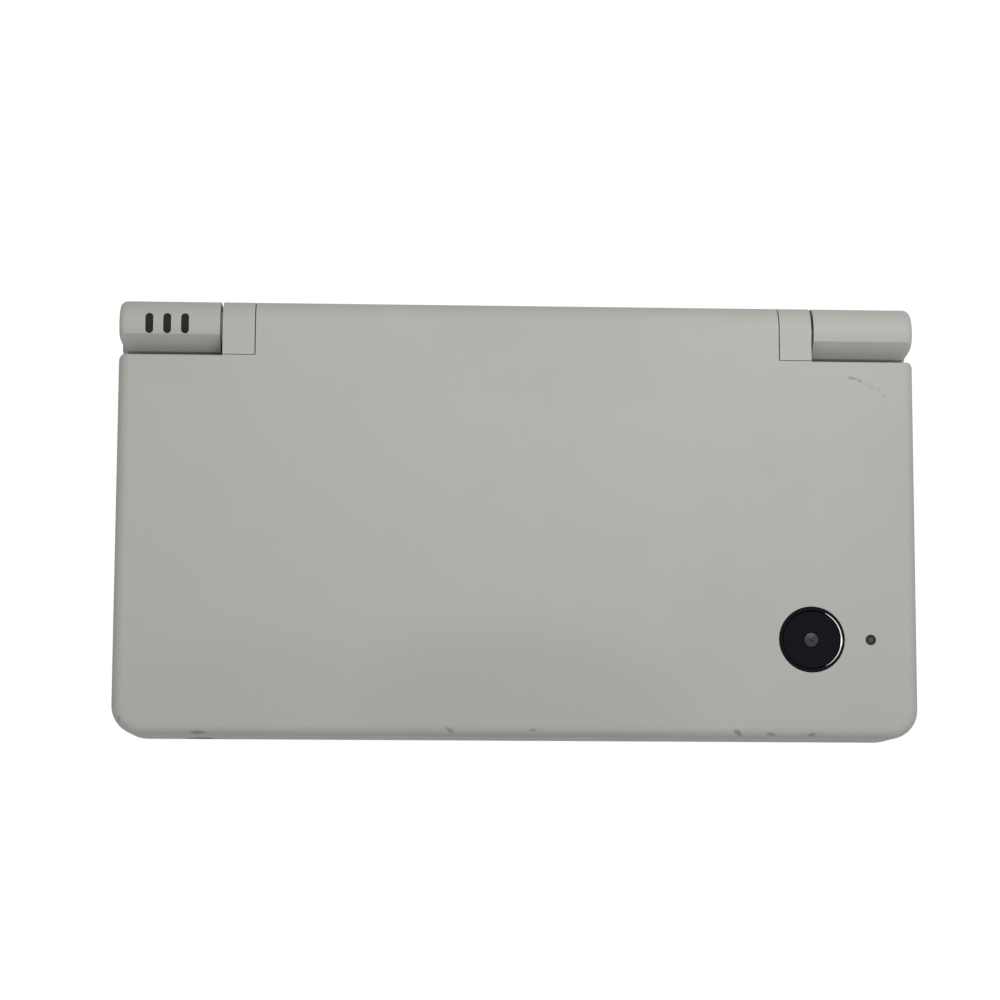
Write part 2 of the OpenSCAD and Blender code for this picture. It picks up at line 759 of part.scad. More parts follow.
// Status light guide: three windows on one bar; gap widens it, over lifts its crown
module status_guide(gap, over) {
    bar_x0 = status_x[0] - status_w / 2 - gap;
    top = lid_z1 + over;
    for (x = status_x) translate([x, axis_y, lid_z1 - status_depth])
        linear_extrude(top - lid_z1 + status_depth)
            round_rect(status_w + 2 * gap, status_l + 2 * gap, status_w / 2 + gap - 0.01);
    translate([bar_x0, axis_y - status_l / 2 - gap, lid_z1 - status_depth - status_bar_h - gap])
        cube([2 * status_pitch + status_w + 2 * gap, status_l + 2 * gap, status_bar_h + 2 * gap]);
}

module status_light_guide() {
    color(dark) intersection() {
        status_guide(0, 0);
        at_axis() rod_x(-side, outer_barrel_l, barrel_r - 0.12);
    }
}

module feet() {
    color(rubber) for (p = foot_at()) translate([p[0], p[1], 0]) rotate([180, 0, 0])
        translate([0, 0, -foot_h - 0.35]) rotate_extrude()
            rim_section(foot_d / 2, foot_h + 0.35, 0.25);
}

module battery_cover() {
    color(case_grey) difference() {
        battery_cover_shape(cover_t, case_z0, 0);
        for (x = cover_screw_x) translate([x, cover_screw_y, case_z0 - cut]) {
            cylinder(h = 5, r = screw_r + fit);
            cylinder(h = cut + 0.5, r = head_r + fit);
        }
    }
}

module battery_cover_screws() {
    color(metal) for (x = cover_screw_x) {
        translate([x, cover_screw_y, case_z0 + 0.05]) difference() {
            cylinder(h = 0.45, r = head_r);
            translate([0, 0, -cut]) cylinder(h = cut + 0.25, r = hex_r, $fn = 6);
        }
        translate([x, cover_screw_y, case_z0 + 0.5]) cylinder(h = 3.5, r = screw_r);
    }
}

module battery() {
    color([0.75, 0.75, 0.72]) translate([(bay_x0 + bay_x1) / 2, (bay_y0 + bay_y1) / 2, battery_z0])
        linear_extrude(battery_t) round_rect(battery_w, battery_d, 1.6);
}

module main_board() {
    board_x = side - 8.7;
    color(green) translate([0, 0, board_z0]) difference() {
        translate([-board_x, inner_front + 0.3, 0])
            cube([2 * board_x, inner_rear - inner_front - 0.8, board_t]);
        translate([jack_x - jack_block_w / 2 - 0.5, inner_front, -cut])
            cube([jack_block_w + 1, front + jack_wall + jack_depth + 0.6 - inner_front,
                board_t + 2 * cut]);
        for (p = case_screw_at) translate([p[0], p[1], -cut])
            cylinder(h = board_t + 2 * cut, r = post_r + 0.4);
    }
}

// Flat tray of sheet metal round a display, open on the picture side
module display_tray(w, d, y, z_open, z_back, t, inner) {
    h = abs(z_back - z_open);
    z0 = min(z_open, z_back);
    difference() {
        translate([-w / 2 - t - inner, y - d / 2 - t - inner, z0])
            cube([w + 2 * (t + inner), d + 2 * (t + inner), h]);
        translate([-w / 2 - inner, y - d / 2 - inner, z_back > z_open ? z0 - cut : z0 + t])
            cube([w + 2 * inner, d + 2 * inner, h - t + cut]);
    }
}

module lower_display() {
    color([0.12, 0.13, 0.15]) translate([-display_w / 2, screen_y - display_d / 2, display_z0])
        cube([display_w, display_d, display_t]);
}

// Open frame of sheet metal round the lower display and the touch panel
module lower_display_frame() {
    color(metal) translate([0, screen_y, display_z0]) difference() {
        translate([-display_w / 2 - frame_t - fit / 2, -display_d / 2 - frame_t - fit / 2, 0])
            cube([display_w + 2 * frame_t + fit, display_d + 2 * frame_t + fit, touch_z1 - display_z0]);
        translate([-display_w / 2 - fit / 2, -display_d / 2 - fit / 2, -cut])
            cube([display_w + fit, display_d + fit, touch_z1 - display_z0 + 2 * cut]);
    }
}

module touch_panel() {
    color([0.2, 0.22, 0.25]) translate([0, screen_y, touch_z0]) difference() {
        translate([-display_w / 2 + 0.3, -display_d / 2 + 0.3, 0])
            cube([display_w - 0.6, display_d - 0.6, touch_t]);
        // cut-out for the tail of the panel
        translate([display_w / 2 - 8, display_d / 2 - 0.9, -cut]) cube([5, 2, touch_t + 2 * cut]);
    }
}

module game_card_socket() {
    w = game_slot_w + 2 * socket_wall;
    l = game_slot_l - (rear - inner_rear);
    color(dark) translate([game_slot_x, inner_rear - fit, slot_z0]) difference() {
        translate([-w / 2, -l - socket_wall, 0])
            cube([w, l + socket_wall, game_slot_h]);
        translate([-game_slot_w / 2, -l, -cut])
            cube([game_slot_w, l + cut, game_slot_h + 2 * cut]);
    }
}

module memory_card_socket() {
    x1 = inner_x - fit;
    color(metal) translate([x1, card_y0, card_z0]) difference() {
        translate([-card_l - socket_wall, -socket_wall + 0.3, -0.3])
            cube([card_l + socket_wall, card_w + 2 * socket_wall - 0.6, board_z0 - fit - card_z0 + 0.3]);
        translate([-card_l, 0, 0]) cube([card_l + cut, card_w, card_h]);
    }
}

module headphone_socket() {
    color(dark) difference() {
        union() {
            translate([jack_x - jack_block_w / 2, front + jack_wall + fit, jack_z - jack_block_h / 2])
                cube([jack_block_w, jack_depth - jack_wall, jack_block_h]);
            translate([jack_x, front + fit, jack_z]) rotate([-90, 0, 0])
                cylinder(h = 2, r = jack_collar_r);
        }
        translate([jack_x, front + fit - cut, jack_z]) rotate([-90, 0, 0])
            cylinder(h = jack_l + cut, d = jack_d);
    }
}

module power_socket() {
    color(dark) translate([-power_x, rear - power_l, power_z]) difference() {
        translate([-power_block_w / 2, 0, -power_block_h / 2])
            cube([power_block_w, power_l - fit, power_block_h]);
        difference() {
            translate([-power_w / 2, 1.2, -power_h / 2]) cube([power_w, power_l, power_h]);
            translate([-power_w / 2 + 1.4, 1.1, -power_tongue_t / 2])
                cube([power_w - 2.8, power_l - 2.2, power_tongue_t]);
        }
    }
}

module case_screws() {
    color(metal) for (p = case_screw_at) screw(p, case_head_z, case_screw_top);
}

module face_button_membrane() {
    color(rubber) difference() {
        union() {
            for (d = [[1, 0], [0, -1], [0, 1], [-1, 0]]) dome(face_pos(d), button_d - 1);
            translate([pad_x, pad_y, membrane_z0])
                linear_extrude(0.45) round_rect(2 * button_pitch, 2 * button_pitch, 3);
        }
        for (d = [[1, 0], [0, -1], [0, 1], [-1, 0]])
            translate([face_pos(d)[0], face_pos(d)[1], membrane_z0 - cut])
                cylinder(h = cut + button_travel + 0.25, d = button_d - 1 - 2 * dome_wall);
    }
}

module menu_button_membrane() {
    color(rubber) for (p = [start_pos, select_pos, power_pos]) dome(p, small_button_d - 0.4);
}

module hinge_cartridge() {
    color(metal) at_axis() difference() {
        along_x(barrel_x0) linear_extrude(cartridge_l) keyed_round(cartridge_d / 2, key_flat);
        rod_x(barrel_x0 - cut, cartridge_l - shaft_end_gap + cut, shaft_d / 2 + run_fit);
        // slot of the stop
        along_x(barrel_x0 - cut) rotate(stop_lug_from - lid_open_deg - stop_play_deg)
            rotate_extrude(angle = lid_open_deg + stop_lug_deg + 2 * stop_play_deg)
                translate([stop_lug_r[0] - fit, 0])
                    square([stop_lug_r[1] - stop_lug_r[0] + 2 * fit, stop_depth + cut]);
    }
}

// Keyed head in the lid, round shaft in the cartridge
module hinge_cam_shaft() {
    color(metal) at_axis() {
        along_x(cap_x0 + shaft_head_in) linear_extrude(cap_w - shaft_head_in - shaft_head_play)
            keyed_round(shaft_head_d / 2, shaft_key_flat);
        // the rod starts inside the head, so that they are one piece at every length
        rod_x(knuckle_x1 - 2 * fit, cartridge_l - shaft_end_gap + fit, shaft_d / 2);
        // lug of the stop
        along_x(knuckle_x1 - 2 * fit) rotate(stop_lug_from) rotate_extrude(angle = stop_lug_deg)
            translate([stop_lug_r[0], 0])
                square([stop_lug_r[1] - stop_lug_r[0], hinge_gap + stop_depth]);
    }
}

// Bush that the ribbon cable runs through, fixed in the left outer barrel
module hinge_bush() {
    color([0.85, 0.85, 0.8]) at_axis() difference() {
        rod_x(bush_x0, bush_x1 - bush_x0, cartridge_d / 2);
        rod_x(bush_x0 - cut, bush_x1 - bush_x0 + 2 * cut, cartridge_d / 2 - bush_wall);
    }
}

module shoulder_pins() {
    color(metal) for (s = [0, 1]) mirror([s, 0, 0])
        translate([shoulder_pin_x, shoulder_pin_y, shoulder_z0 - 1.2])
            cylinder(h = shoulder_h + 1.9, r = shoulder_pin_r);
}

module shoulder_springs() {
    color(metal) for (s = [0, 1]) mirror([s, 0, 0])
        translate([shoulder_pin_x, shoulder_pin_y, shoulder_z1 - spring_h]) {
            difference() {
                union() {
                    cylinder(h = spring_h, r = 1.6);
                    // leg against the case
                    translate([-0.2, shoulder_back - shoulder_pin_y + 0.05, 0.4])
                        cube([0.4, shoulder_pin_y - shoulder_back - 1.2, 0.4]);
                }
                translate([0, 0, -cut]) cylinder(h = spring_h + 2 * cut, r = shoulder_pin_r + 0.25);
            }
        }
}

// Shoulder button on the right, hinged on the pin at its inner end
module shoulder_button() {
    x1 = side - fit;
    y1 = rear - fit;
    r = rear_corner_r;
    difference() {
        translate([shoulder_x0, rear - shoulder_t, shoulder_z0])
            cube([x1 - shoulder_x0, shoulder_t - fit, shoulder_h]);
        translate([x1 - r, y1 - r, shoulder_z0 - cut])
            linear_extrude(shoulder_h + 2 * cut) corner_waste(r);
        translate([shoulder_pin_x, shoulder_pin_y, shoulder_z0 - cut])
            cylinder(h = shoulder_h + 2 * cut, r = shoulder_pin_r + run_fit);
        // room for the spring
        translate([shoulder_x0 - cut, rear - shoulder_t - cut, shoulder_z1 - spring_h - fit])
            cube([4.6 + cut, shoulder_t - 1 + cut, spring_h + fit + cut]);
    }
}

module left_shoulder_button() {
    color(inner_grey) mirror([1, 0, 0]) shoulder_button();
}

module right_shoulder_button() {
    color(inner_grey) shoulder_button();
}

module volume_rocker() {
    color(inner_grey) translate([0, rocker_y, rocker_z0]) {
        difference() {
            translate([-(side - fit), -rocker_l / 2, 0]) cube([side_wall + 0.4, rocker_l, rocker_h]);
            translate([-(side - fit) - rocker_dish_r + rocker_dish, 0, -cut])
                cylinder(h = rocker_h + 2 * cut, r = rocker_dish_r);
        }
        translate([rocker_pivot_x + 0.4, 0, 0]) cylinder(h = rocker_h, r = 1);
    }
}

module memory_card_cover() {
    h = flap_z1 - flap_z0;
    color(case_grey) difference() {
        union() {
            translate([side - flap_t, flap_y0 + flap_t / 2, flap_z0])
                cube([flap_t, flap_y1 - flap_y0 - flap_t / 2, h]);
            translate([flap_pivot_x, flap_y0 + flap_t / 2, flap_z0]) cylinder(h = h, d = flap_t);
        }
        translate([side + nail_r - nail_depth, flap_y1 - nail_r / 2, flap_z0 - cut])
            cylinder(h = h + 2 * cut, r = nail_r);
    }
}

// Stylus with a rounded cap at the right end, a groove behind it for a fingernail, and a
// tapered point at the left
module stylus() {
    r = stylus_d / 2;
    tip = 4;
    groove = 0.8;
    color(inner_grey) translate([0, stylus_y, stylus_z]) {
        along_x(side - stylus_cap_l) rotate_extrude() rim_section(r, stylus_cap_l - fit, 0.6);
        rod_x(side - stylus_cap_l - groove - fit, groove + 2 * fit, r - 0.4);
        rod_x(side - stylus_l + tip, stylus_l - tip - stylus_cap_l - groove, r);
        along_x(side - stylus_l) cylinder(h = tip, r1 = 0.7, r2 = r - 0.5);
    }
}

module dpad_membrane() {
    color(rubber) translate([-pad_x, pad_y, membrane_z0]) difference() {
        cylinder(h = 0.9, r = dpad_flange_r - 0.8);
        translate([0, 0, -cut]) cylinder(h = 0.9 + 2 * cut, r = 2.6);
    }
}

module dpad() {
    top = base_z1 + dpad_proud;
    z0 = dpad_flange_z1 - dpad_flange_t;
    color(key_grey) translate([-pad_x, pad_y, 0]) difference() {
        union() {
            translate([0, 0, z0]) cylinder(h = dpad_flange_t, r = dpad_flange_r);
            // arms, sloping outwards so that their ends stay low when the pad tilts
            translate([0, 0, z0]) intersection() {
                linear_extrude(top - z0) cross_outline(0);
                rotate_extrude() polygon([[0, 0], [dpad_size, 0], [dpad_size, top - z0 - dpad_fall],
                    [dpad_size / 2, top - z0 - dpad_fall], [dpad_arm / 2, top - z0], [0, top - z0]]);
            }
            translate([0, 0, dpad_pivot_z]) cylinder(h = z0 - dpad_pivot_z + fit, r1 = 0.6, r2 = 1.6);
        }
        // thumb dish
        translate([0, 0, top + dpad_dish_r - 0.4]) sphere(dpad_dish_r, $fn = 96);
    }
}

module a_button() {
    color(key_grey) push_button(face_pos([1, 0]), button_d, button_proud, 0.9);
}

module b_button() {
    color(key_grey) push_button(face_pos([0, -1]), button_d, button_proud, 0.9);
}

module x_button() {
    color(key_grey) push_button(face_pos([0, 1]), button_d, button_proud, 0.9);
}

module y_button() {
    color(key_grey) push_button(face_pos([-1, 0]), button_d, button_proud, 0.9);
}

module start_button() {
    color(key_grey) push_button(start_pos, small_button_d, button_proud - 0.2, 0.7);
}

module select_button() {
    color(key_grey) push_button(select_pos, small_button_d, button_proud - 0.2, 0.7);
}

module power_button() {
    color(key_grey) push_button(power_pos, small_button_d, button_proud - 0.2, 0.7);
}

// Lid, outer half: plate, top wall of the middle barrel and its rounded back
module lid_outer_shell() {
    color(case_grey) difference() {
        union() {
            difference() {
                case_plate(lid_rear, lid_split_z, lid_z1, lid_edge_r, true);
                for (s = [0, 1]) mirror([s, 0, 0]) lid_corner_waste();
                translate([-inner_x, front + side_wall, lid_split_z - cut])
                    cube([2 * inner_x, lid_rear - front - 2 * side_wall, lid_ceiling_z - lid_split_z + cut]);
            }
            // middle barrel
            translate([-cap_x0 + panel_line, lid_rear, axis_z])
                cube([2 * (cap_x0 - panel_line), axis_y - lid_rear, barrel_r]);
            at_axis() along_x(-cap_x0 + panel_line) rotate_extrude(angle = 90)
                square([barrel_r, 2 * (cap_x0 - panel_line)]);
            // screw posts, and ribs that hold the display down
            for (p = lid_screw_at) translate([p[0], p[1], lid_boss_z + fit])
                cylinder(h = lid_ceiling_z - lid_boss_z, r = post_r);
            lid_ribs();
        }
        // inside of the middle barrel
        translate([-knuckle_hollow_x, lid_rear - side_wall - cut, axis_z - cut])
            cube([2 * knuckle_hollow_x, axis_y - lid_rear + side_wall + cut, lid_ceiling_z - axis_z + cut]);
        at_axis() rod_x(-knuckle_hollow_x, 2 * knuckle_hollow_x, barrel_r - lid_wall);
        at_axis() rod_x(-cap_x0 - cut, knuckle_wall + 2 * cut, cartridge_bore_r);
        for (p = lid_screw_at) translate([p[0], p[1], lid_split_z - cut])
            cylinder(h = lid_ceiling_z - lid_split_z + 0.2, r = screw_r + run_fit);
        // outer camera and lamp
        translate([camera_x, camera_y, lid_ceiling_z - cut])
            cylinder(h = 2 * lid_wall + cut, r = camera_r + panel_line / 2);
        translate([lamp_x, camera_y, lid_ceiling_z - cut])
            cylinder(h = 2 * lid_wall + cut, r = lamp_r + panel_line / 2);
    }
}

// Crossed ribs under the outer face of the lid, over the display
module lid_ribs() {
    z0 = display_back_z + fit;
    h = lid_ceiling_z - z0 + fit;
    for (i = [-2:2]) translate([i * upper_w / 5 - rib_t / 2, upper_y - upper_d / 2, z0])
        cube([rib_t, upper_d, h]);
    for (i = [-1:1]) translate([-upper_w / 2, upper_y + i * upper_d / 3 - rib_t / 2, z0])
        cube([upper_w, rib_t, h]);
}

// Waste outside the back corner and back edge of the lid on the right
module lid_corner_waste() {
    translate([side - rear_corner_r, lid_rear - rear_corner_r, lid_split_z - cut])
        linear_extrude(lid_z1 - lid_split_z + 2 * cut) corner_waste(rear_corner_r);
    translate([0, lid_rear - notch_edge_r, lid_z1 - notch_edge_r])
        along_x(knuckle_x1) linear_extrude(outer_barrel_l + cut) corner_waste(notch_edge_r);
}

// Lid, inner half: face round the window, lower half of the middle barrel and both knuckles
module lid_inner_shell() {
    color(inner_grey) difference() {
        union() {
            difference() {
                case_plate(lid_rear, lid_z0, lid_split_z, inner_edge_r, false);
                rear_corner_waste(lid_rear, lid_z0, lid_split_z);
                translate([-inner_x, front + side_wall, lid_floor_z])
                    cube([2 * inner_x, lid_rear - front - 2 * side_wall, lid_rim_h]);
            }
            // lower half of the barrel
            translate([-knuckle_x1, lid_rear, lid_z0])
                cube([2 * knuckle_x1, axis_y - lid_rear, axis_z - lid_z0]);
            at_axis() along_x(-knuckle_x1) rotate([0, 0, 180]) rotate_extrude(angle = 180)
                square([barrel_r, 2 * knuckle_x1]);
            // knuckles under the caps
            for (s = [0, 1]) mirror([s, 0, 0]) {
                translate([cap_x0, lid_rear, axis_z])
                    cube([cap_w, axis_y - lid_rear, barrel_r - cap_t - fit / 2]);
                at_axis() along_x(cap_x0) rotate_extrude(angle = 90)
                    square([barrel_r - cap_t - fit / 2, cap_w]);
            }
            for (p = lid_screw_at) translate([p[0], p[1], lid_floor_z - fit])
                cylinder(h = lid_boss_z - lid_floor_z + fit, r = post_r + 0.7);
        }
        // inside of the barrel
        translate([-knuckle_hollow_x, lid_rear - side_wall - cut, lid_floor_z])
            cube([2 * knuckle_hollow_x, axis_y - lid_rear + side_wall + cut, axis_z - lid_floor_z + cut]);
        at_axis() rod_x(-knuckle_hollow_x, 2 * knuckle_hollow_x, barrel_r - lid_wall);
        // seat of the hinge shaft on the right and of the bush on the left
        at_axis() along_x(cap_x0 - 2 * cut) linear_extrude(cap_w + 4 * cut)
            keyed_round(shaft_head_d / 2 + fit / 2, shaft_key_flat + fit / 2);
        at_axis() rod_x(-knuckle_x1 - cut, cap_w + 3 * cut, cartridge_bore_r);
        seam_groove(lid_rear - 2 * rear_corner_r, lid_split_z - panel_line);
        // window, and the opening behind it
        translate([0, upper_y, lid_z0 - cut])
            linear_extrude(window_t + fit + cut) round_rect(window_w + 2 * fit, window_d + 2 * fit, 1.5);
        translate([-aperture_w / 2, upper_y - aperture_d / 2, lid_z0 - cut])
            cube([aperture_w, aperture_d, lid_floor_t + 2 * cut]);
        // speaker slots
        for (x = [-1, 1]) translate([x * speaker_x, speaker_y, lid_z0 - cut])
            linear_extrude(lid_floor_t + 2 * cut) round_rect(11, 1.8, 0.89);
        // bumpers and screws
        for (p = lid_screw_at) translate([p[0], p[1], lid_z0 - cut]) {
            cylinder(h = cut + bumper_in, r = bumper_r + fit / 2);
            cylinder(h = lid_seat_z - lid_z0 + cut, r = head_r + fit);
            cylinder(h = lid_rim_h + 3, r = screw_r + fit);
        }
        // inner camera and microphone, in the underside of the barrel
        translate([0, axis_y, axis_z - barrel_r - cut])
            cylinder(h = barrel_r, r = inner_camera_r + fit / 2);
        translate([mic_x, axis_y, axis_z - barrel_r - cut]) cylinder(h = barrel_r, r = 0.6);
    }
}

// Cap over the knuckle on the right: flat on top, round over the back
module hinge_cap() {
    w = cap_w - panel_line;
    translate([cap_x0 + panel_line / 2, lid_rear + panel_line, lid_z1 - cap_t])
        cube([w, axis_y - lid_rear - panel_line, cap_t]);
    at_axis() along_x(cap_x0 + panel_line / 2) rotate_extrude(angle = 90)
        translate([barrel_r - cap_t, 0]) square([cap_t, w]);
}

module hinge_cap_left() {
    color(case_grey) mirror([1, 0, 0]) hinge_cap();
}

module hinge_cap_right() {
    color(case_grey) hinge_cap();
}

module upper_window() {
    color([0.1, 0.11, 0.12]) translate([0, upper_y, lid_z0 + 0.05])
        linear_extrude(window_t) round_rect(window_w, window_d, 1.4);
}

module upper_display() {
    color([0.12, 0.13, 0.15]) translate([-upper_w / 2, upper_y - upper_d / 2, lid_floor_z + fit / 2])
        cube([upper_w, upper_d, upper_display_t]);
}

module upper_display_frame() {
    color(metal) display_tray(upper_w, upper_d, upper_y, lid_floor_z + fit / 2,
        display_back_z, frame_t, fit / 2);
}

module speaker(x) {
    color(dark) translate([x, speaker_y, lid_floor_z + fit]) difference() {
        linear_extrude(speaker_t) round_rect(speaker_w, speaker_d, 5);
        // front cavity
        translate([0, 0, -cut]) linear_extrude(cut + 0.8) round_rect(speaker_w - 3, speaker_d - 3, 4);
    }
}

module left_speaker() {
    speaker(-speaker_x);
}

module right_speaker() {
    speaker(speaker_x);
}

module lid_bumpers() {
    color(rubber) for (p = lid_screw_at)
        translate([p[0], p[1], lid_z0 + bumper_in - 0.02]) mirror([0, 0, 1])
            rotate_extrude() rim_section(bumper_r, lid_gap + bumper_in - 0.1, 0.3);
}

module lid_screws() {
    color(metal) for (p = lid_screw_at)
        screw(p, lid_z0 + bumper_in + fit, lid_ceiling_z - 1);
}

module camera_ring() {
    r0 = camera_r - camera_ring_w;
    r1 = camera_r - camera_land;
    h = lid_wall - fit / 2;
    color(glass_black) translate([camera_x, camera_y, lid_z1 - lid_wall]) rotate_extrude()
        polygon([[r0, 0], [camera_r, 0], [camera_r, h], [r1, h], [r0, h - camera_recess + fit]]);
}

module camera_window() {
    color(glass_black)
        translate([camera_x, camera_y, lid_z1 - camera_recess - camera_window_t])
            cylinder(h = camera_window_t, r = camera_r - camera_ring_w - fit / 2);
}

module outer_camera() {
    z1 = lid_z1 - camera_recess - camera_window_t - fit / 2;
    z0 = lid_floor_z + 1.6;
    block_h = 2;
    color(dark) translate([camera_x, camera_y, 0]) difference() {
        union() {
            translate([-camera_block / 2, -camera_block / 2, z0])
                cube([camera_block, camera_block, block_h]);
            translate([0, 0, z0 + block_h]) cylinder(h = z1 - z0 - block_h, r = 2.6);
        }
        // front element, sunk in the barrel of the lens
        translate([0, 0, z1 - 0.5]) cylinder(h = 0.5 + cut, r1 = 1.2, r2 = 2.6);
    }
}

module camera_lamp_guide() {
    color([0.24, 0.24, 0.24]) translate([lamp_x, camera_y, 0]) {
        translate([0, 0, lid_ceiling_z - 2]) cylinder(h = lid_wall + 2 - 0.05, r = lamp_r);
        translate([0, 0, lid_ceiling_z - 2]) cylinder(h = 1.9, r = lamp_r + 0.8);
    }
}

module inner_camera_window() {
    color(glass_black) translate([0, axis_y, inner_camera_z + 0.05])
        cylinder(h = 0.5, r = inner_camera_r);
}

module inner_camera() {
    color(dark) translate([0, axis_y, inner_camera_z + 0.65]) {
        cylinder(h = 1.4, r = 1.6);
        translate([-2.2, -1.9, 0.9]) cube([4.4, 3.8, 2.4]);
    }
}

module microphone() {
    seat_r = barrel_r - lid_wall;
    color(metal) translate([mic_x, axis_y, axis_z - sqrt(seat_r * seat_r - mic_r * mic_r) + fit / 2])
        cylinder(h = 1.4, r = mic_r);
}

// Ribbon cable of the upper half: rolled in the left of the hinge, flat inside the lid
module display_ribbon_cable() {
    r = cartridge_d / 2 - bush_wall - 0.3;
    color([0.7, 0.5, 0.2]) at_axis() {
        difference() {
            rod_x(-barrel_x0 - ribbon_roll_in, ribbon_roll_l, r);
            rod_x(-barrel_x0 - ribbon_roll_in - 1, ribbon_roll_l + 2, r - ribbon_wall);
        }
        translate([-barrel_x0 - ribbon_roll_in + ribbon_roll_l - ribbon_t, -ribbon_end[1], r - ribbon_t])
            cube([ribbon_end[0], ribbon_end[1], ribbon_t]);
    }
}

bottom_case();
top_case();
feet();
battery_cover();
battery_cover_screws();
battery();
main_board();
lower_display();
lower_display_frame();
touch_panel();
game_card_socket();
memory_card_socket();
headphone_socket();
power_socket();
status_light_guide();
case_screws();
face_button_membrane();
menu_button_membrane();
hinge_cartridge();
hinge_bush();
shoulder_pins();
shoulder_springs();
dpad_membrane();
dpad();
a_button();
b_button();
x_button();
y_button();
start_button();
select_button();
power_button();
left_shoulder_button();
right_shoulder_button();
volume_rocker();
memory_card_cover();
stylus();
lid_outer_shell();
lid_inner_shell();
upper_window();
upper_display();
upper_display_frame();
left_speaker();
right_speaker();
lid_bumpers();
lid_screws();
camera_ring();
camera_window();
outer_camera();
camera_lamp_guide();
inner_camera_window();
inner_camera();
microphone();
hinge_cap_left();
hinge_cap_right();
hinge_cam_shaft();
display_ribbon_cable();
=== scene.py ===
"""Looks of a slim clamshell handheld console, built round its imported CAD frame.

Every length is in metres, in the frame of the CAD model: +X right, +Y towards the
hinge, +Z up, the origin on the table under the middle of the closed body.
"""

import json
import logging
import math
from dataclasses import dataclass, field
from enum import Enum

import bmesh
import bpy
from mathutils import Matrix, Vector


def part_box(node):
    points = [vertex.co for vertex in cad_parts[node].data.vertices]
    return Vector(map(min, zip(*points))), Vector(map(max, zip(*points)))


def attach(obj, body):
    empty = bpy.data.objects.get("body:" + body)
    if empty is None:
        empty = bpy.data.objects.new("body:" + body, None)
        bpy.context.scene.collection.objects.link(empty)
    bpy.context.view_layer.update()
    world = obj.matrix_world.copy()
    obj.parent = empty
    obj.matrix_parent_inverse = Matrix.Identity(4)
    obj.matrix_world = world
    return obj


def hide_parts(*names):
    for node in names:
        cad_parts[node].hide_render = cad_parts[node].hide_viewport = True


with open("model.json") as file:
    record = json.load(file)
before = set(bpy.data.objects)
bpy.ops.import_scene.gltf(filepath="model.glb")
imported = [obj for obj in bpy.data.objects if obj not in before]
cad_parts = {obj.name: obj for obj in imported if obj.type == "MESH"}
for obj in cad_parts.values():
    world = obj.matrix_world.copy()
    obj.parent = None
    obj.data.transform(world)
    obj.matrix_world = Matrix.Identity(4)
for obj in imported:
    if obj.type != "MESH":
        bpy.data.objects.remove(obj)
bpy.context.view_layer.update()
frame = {"nodes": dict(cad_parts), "record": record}

log = logging.getLogger("console")
MM = 0.001
Colour = tuple[float, float, float]
Place = tuple[float, float, float]
Socket = bpy.types.NodeSocket


class Body(str, Enum):
    """Bodies of the frame that new pieces ride on."""

    BASE = "base"
    LID = "lid"


class Slot(str, Enum):
    """Material slots of the record."""

    CASE = "case_plastic"
    INNER = "inner_plastic"
    KEY = "key_plastic"
    SOCKET = "socket_plastic"
    BUSH = "bush_plastic"
    RUBBER = "rubber"
    DISPLAY = "display_glass"
    WINDOW = "dark_window"
    SHEET = "sheet_metal"
    STEEL = "steel"
    BOARD = "board"
    BATTERY = "battery_wrap"
    FILM = "cable_film"


def srgb(red: int, green: int, blue: int) -> Colour:
    """Turns an 8-bit display colour into a linear one.

    Args:
        red: Red, 0 to 255.
        green: Green, 0 to 255.
        blue: Blue, 0 to 255.

    Returns:
        The linear colour.
    """
    def channel(value: int) -> float:
        """Linear value of one 8-bit channel."""
        c = value / 255
        return c / 12.92 if c <= 0.04045 else ((c + 0.055) / 1.055) ** 2.4

    return channel(red), channel(green), channel(blue)


def box_middle(node: str) -> Vector:
    """Middle of a CAD node's box."""
    low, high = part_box(node)
    return (Vector(low) + Vector(high)) / 2


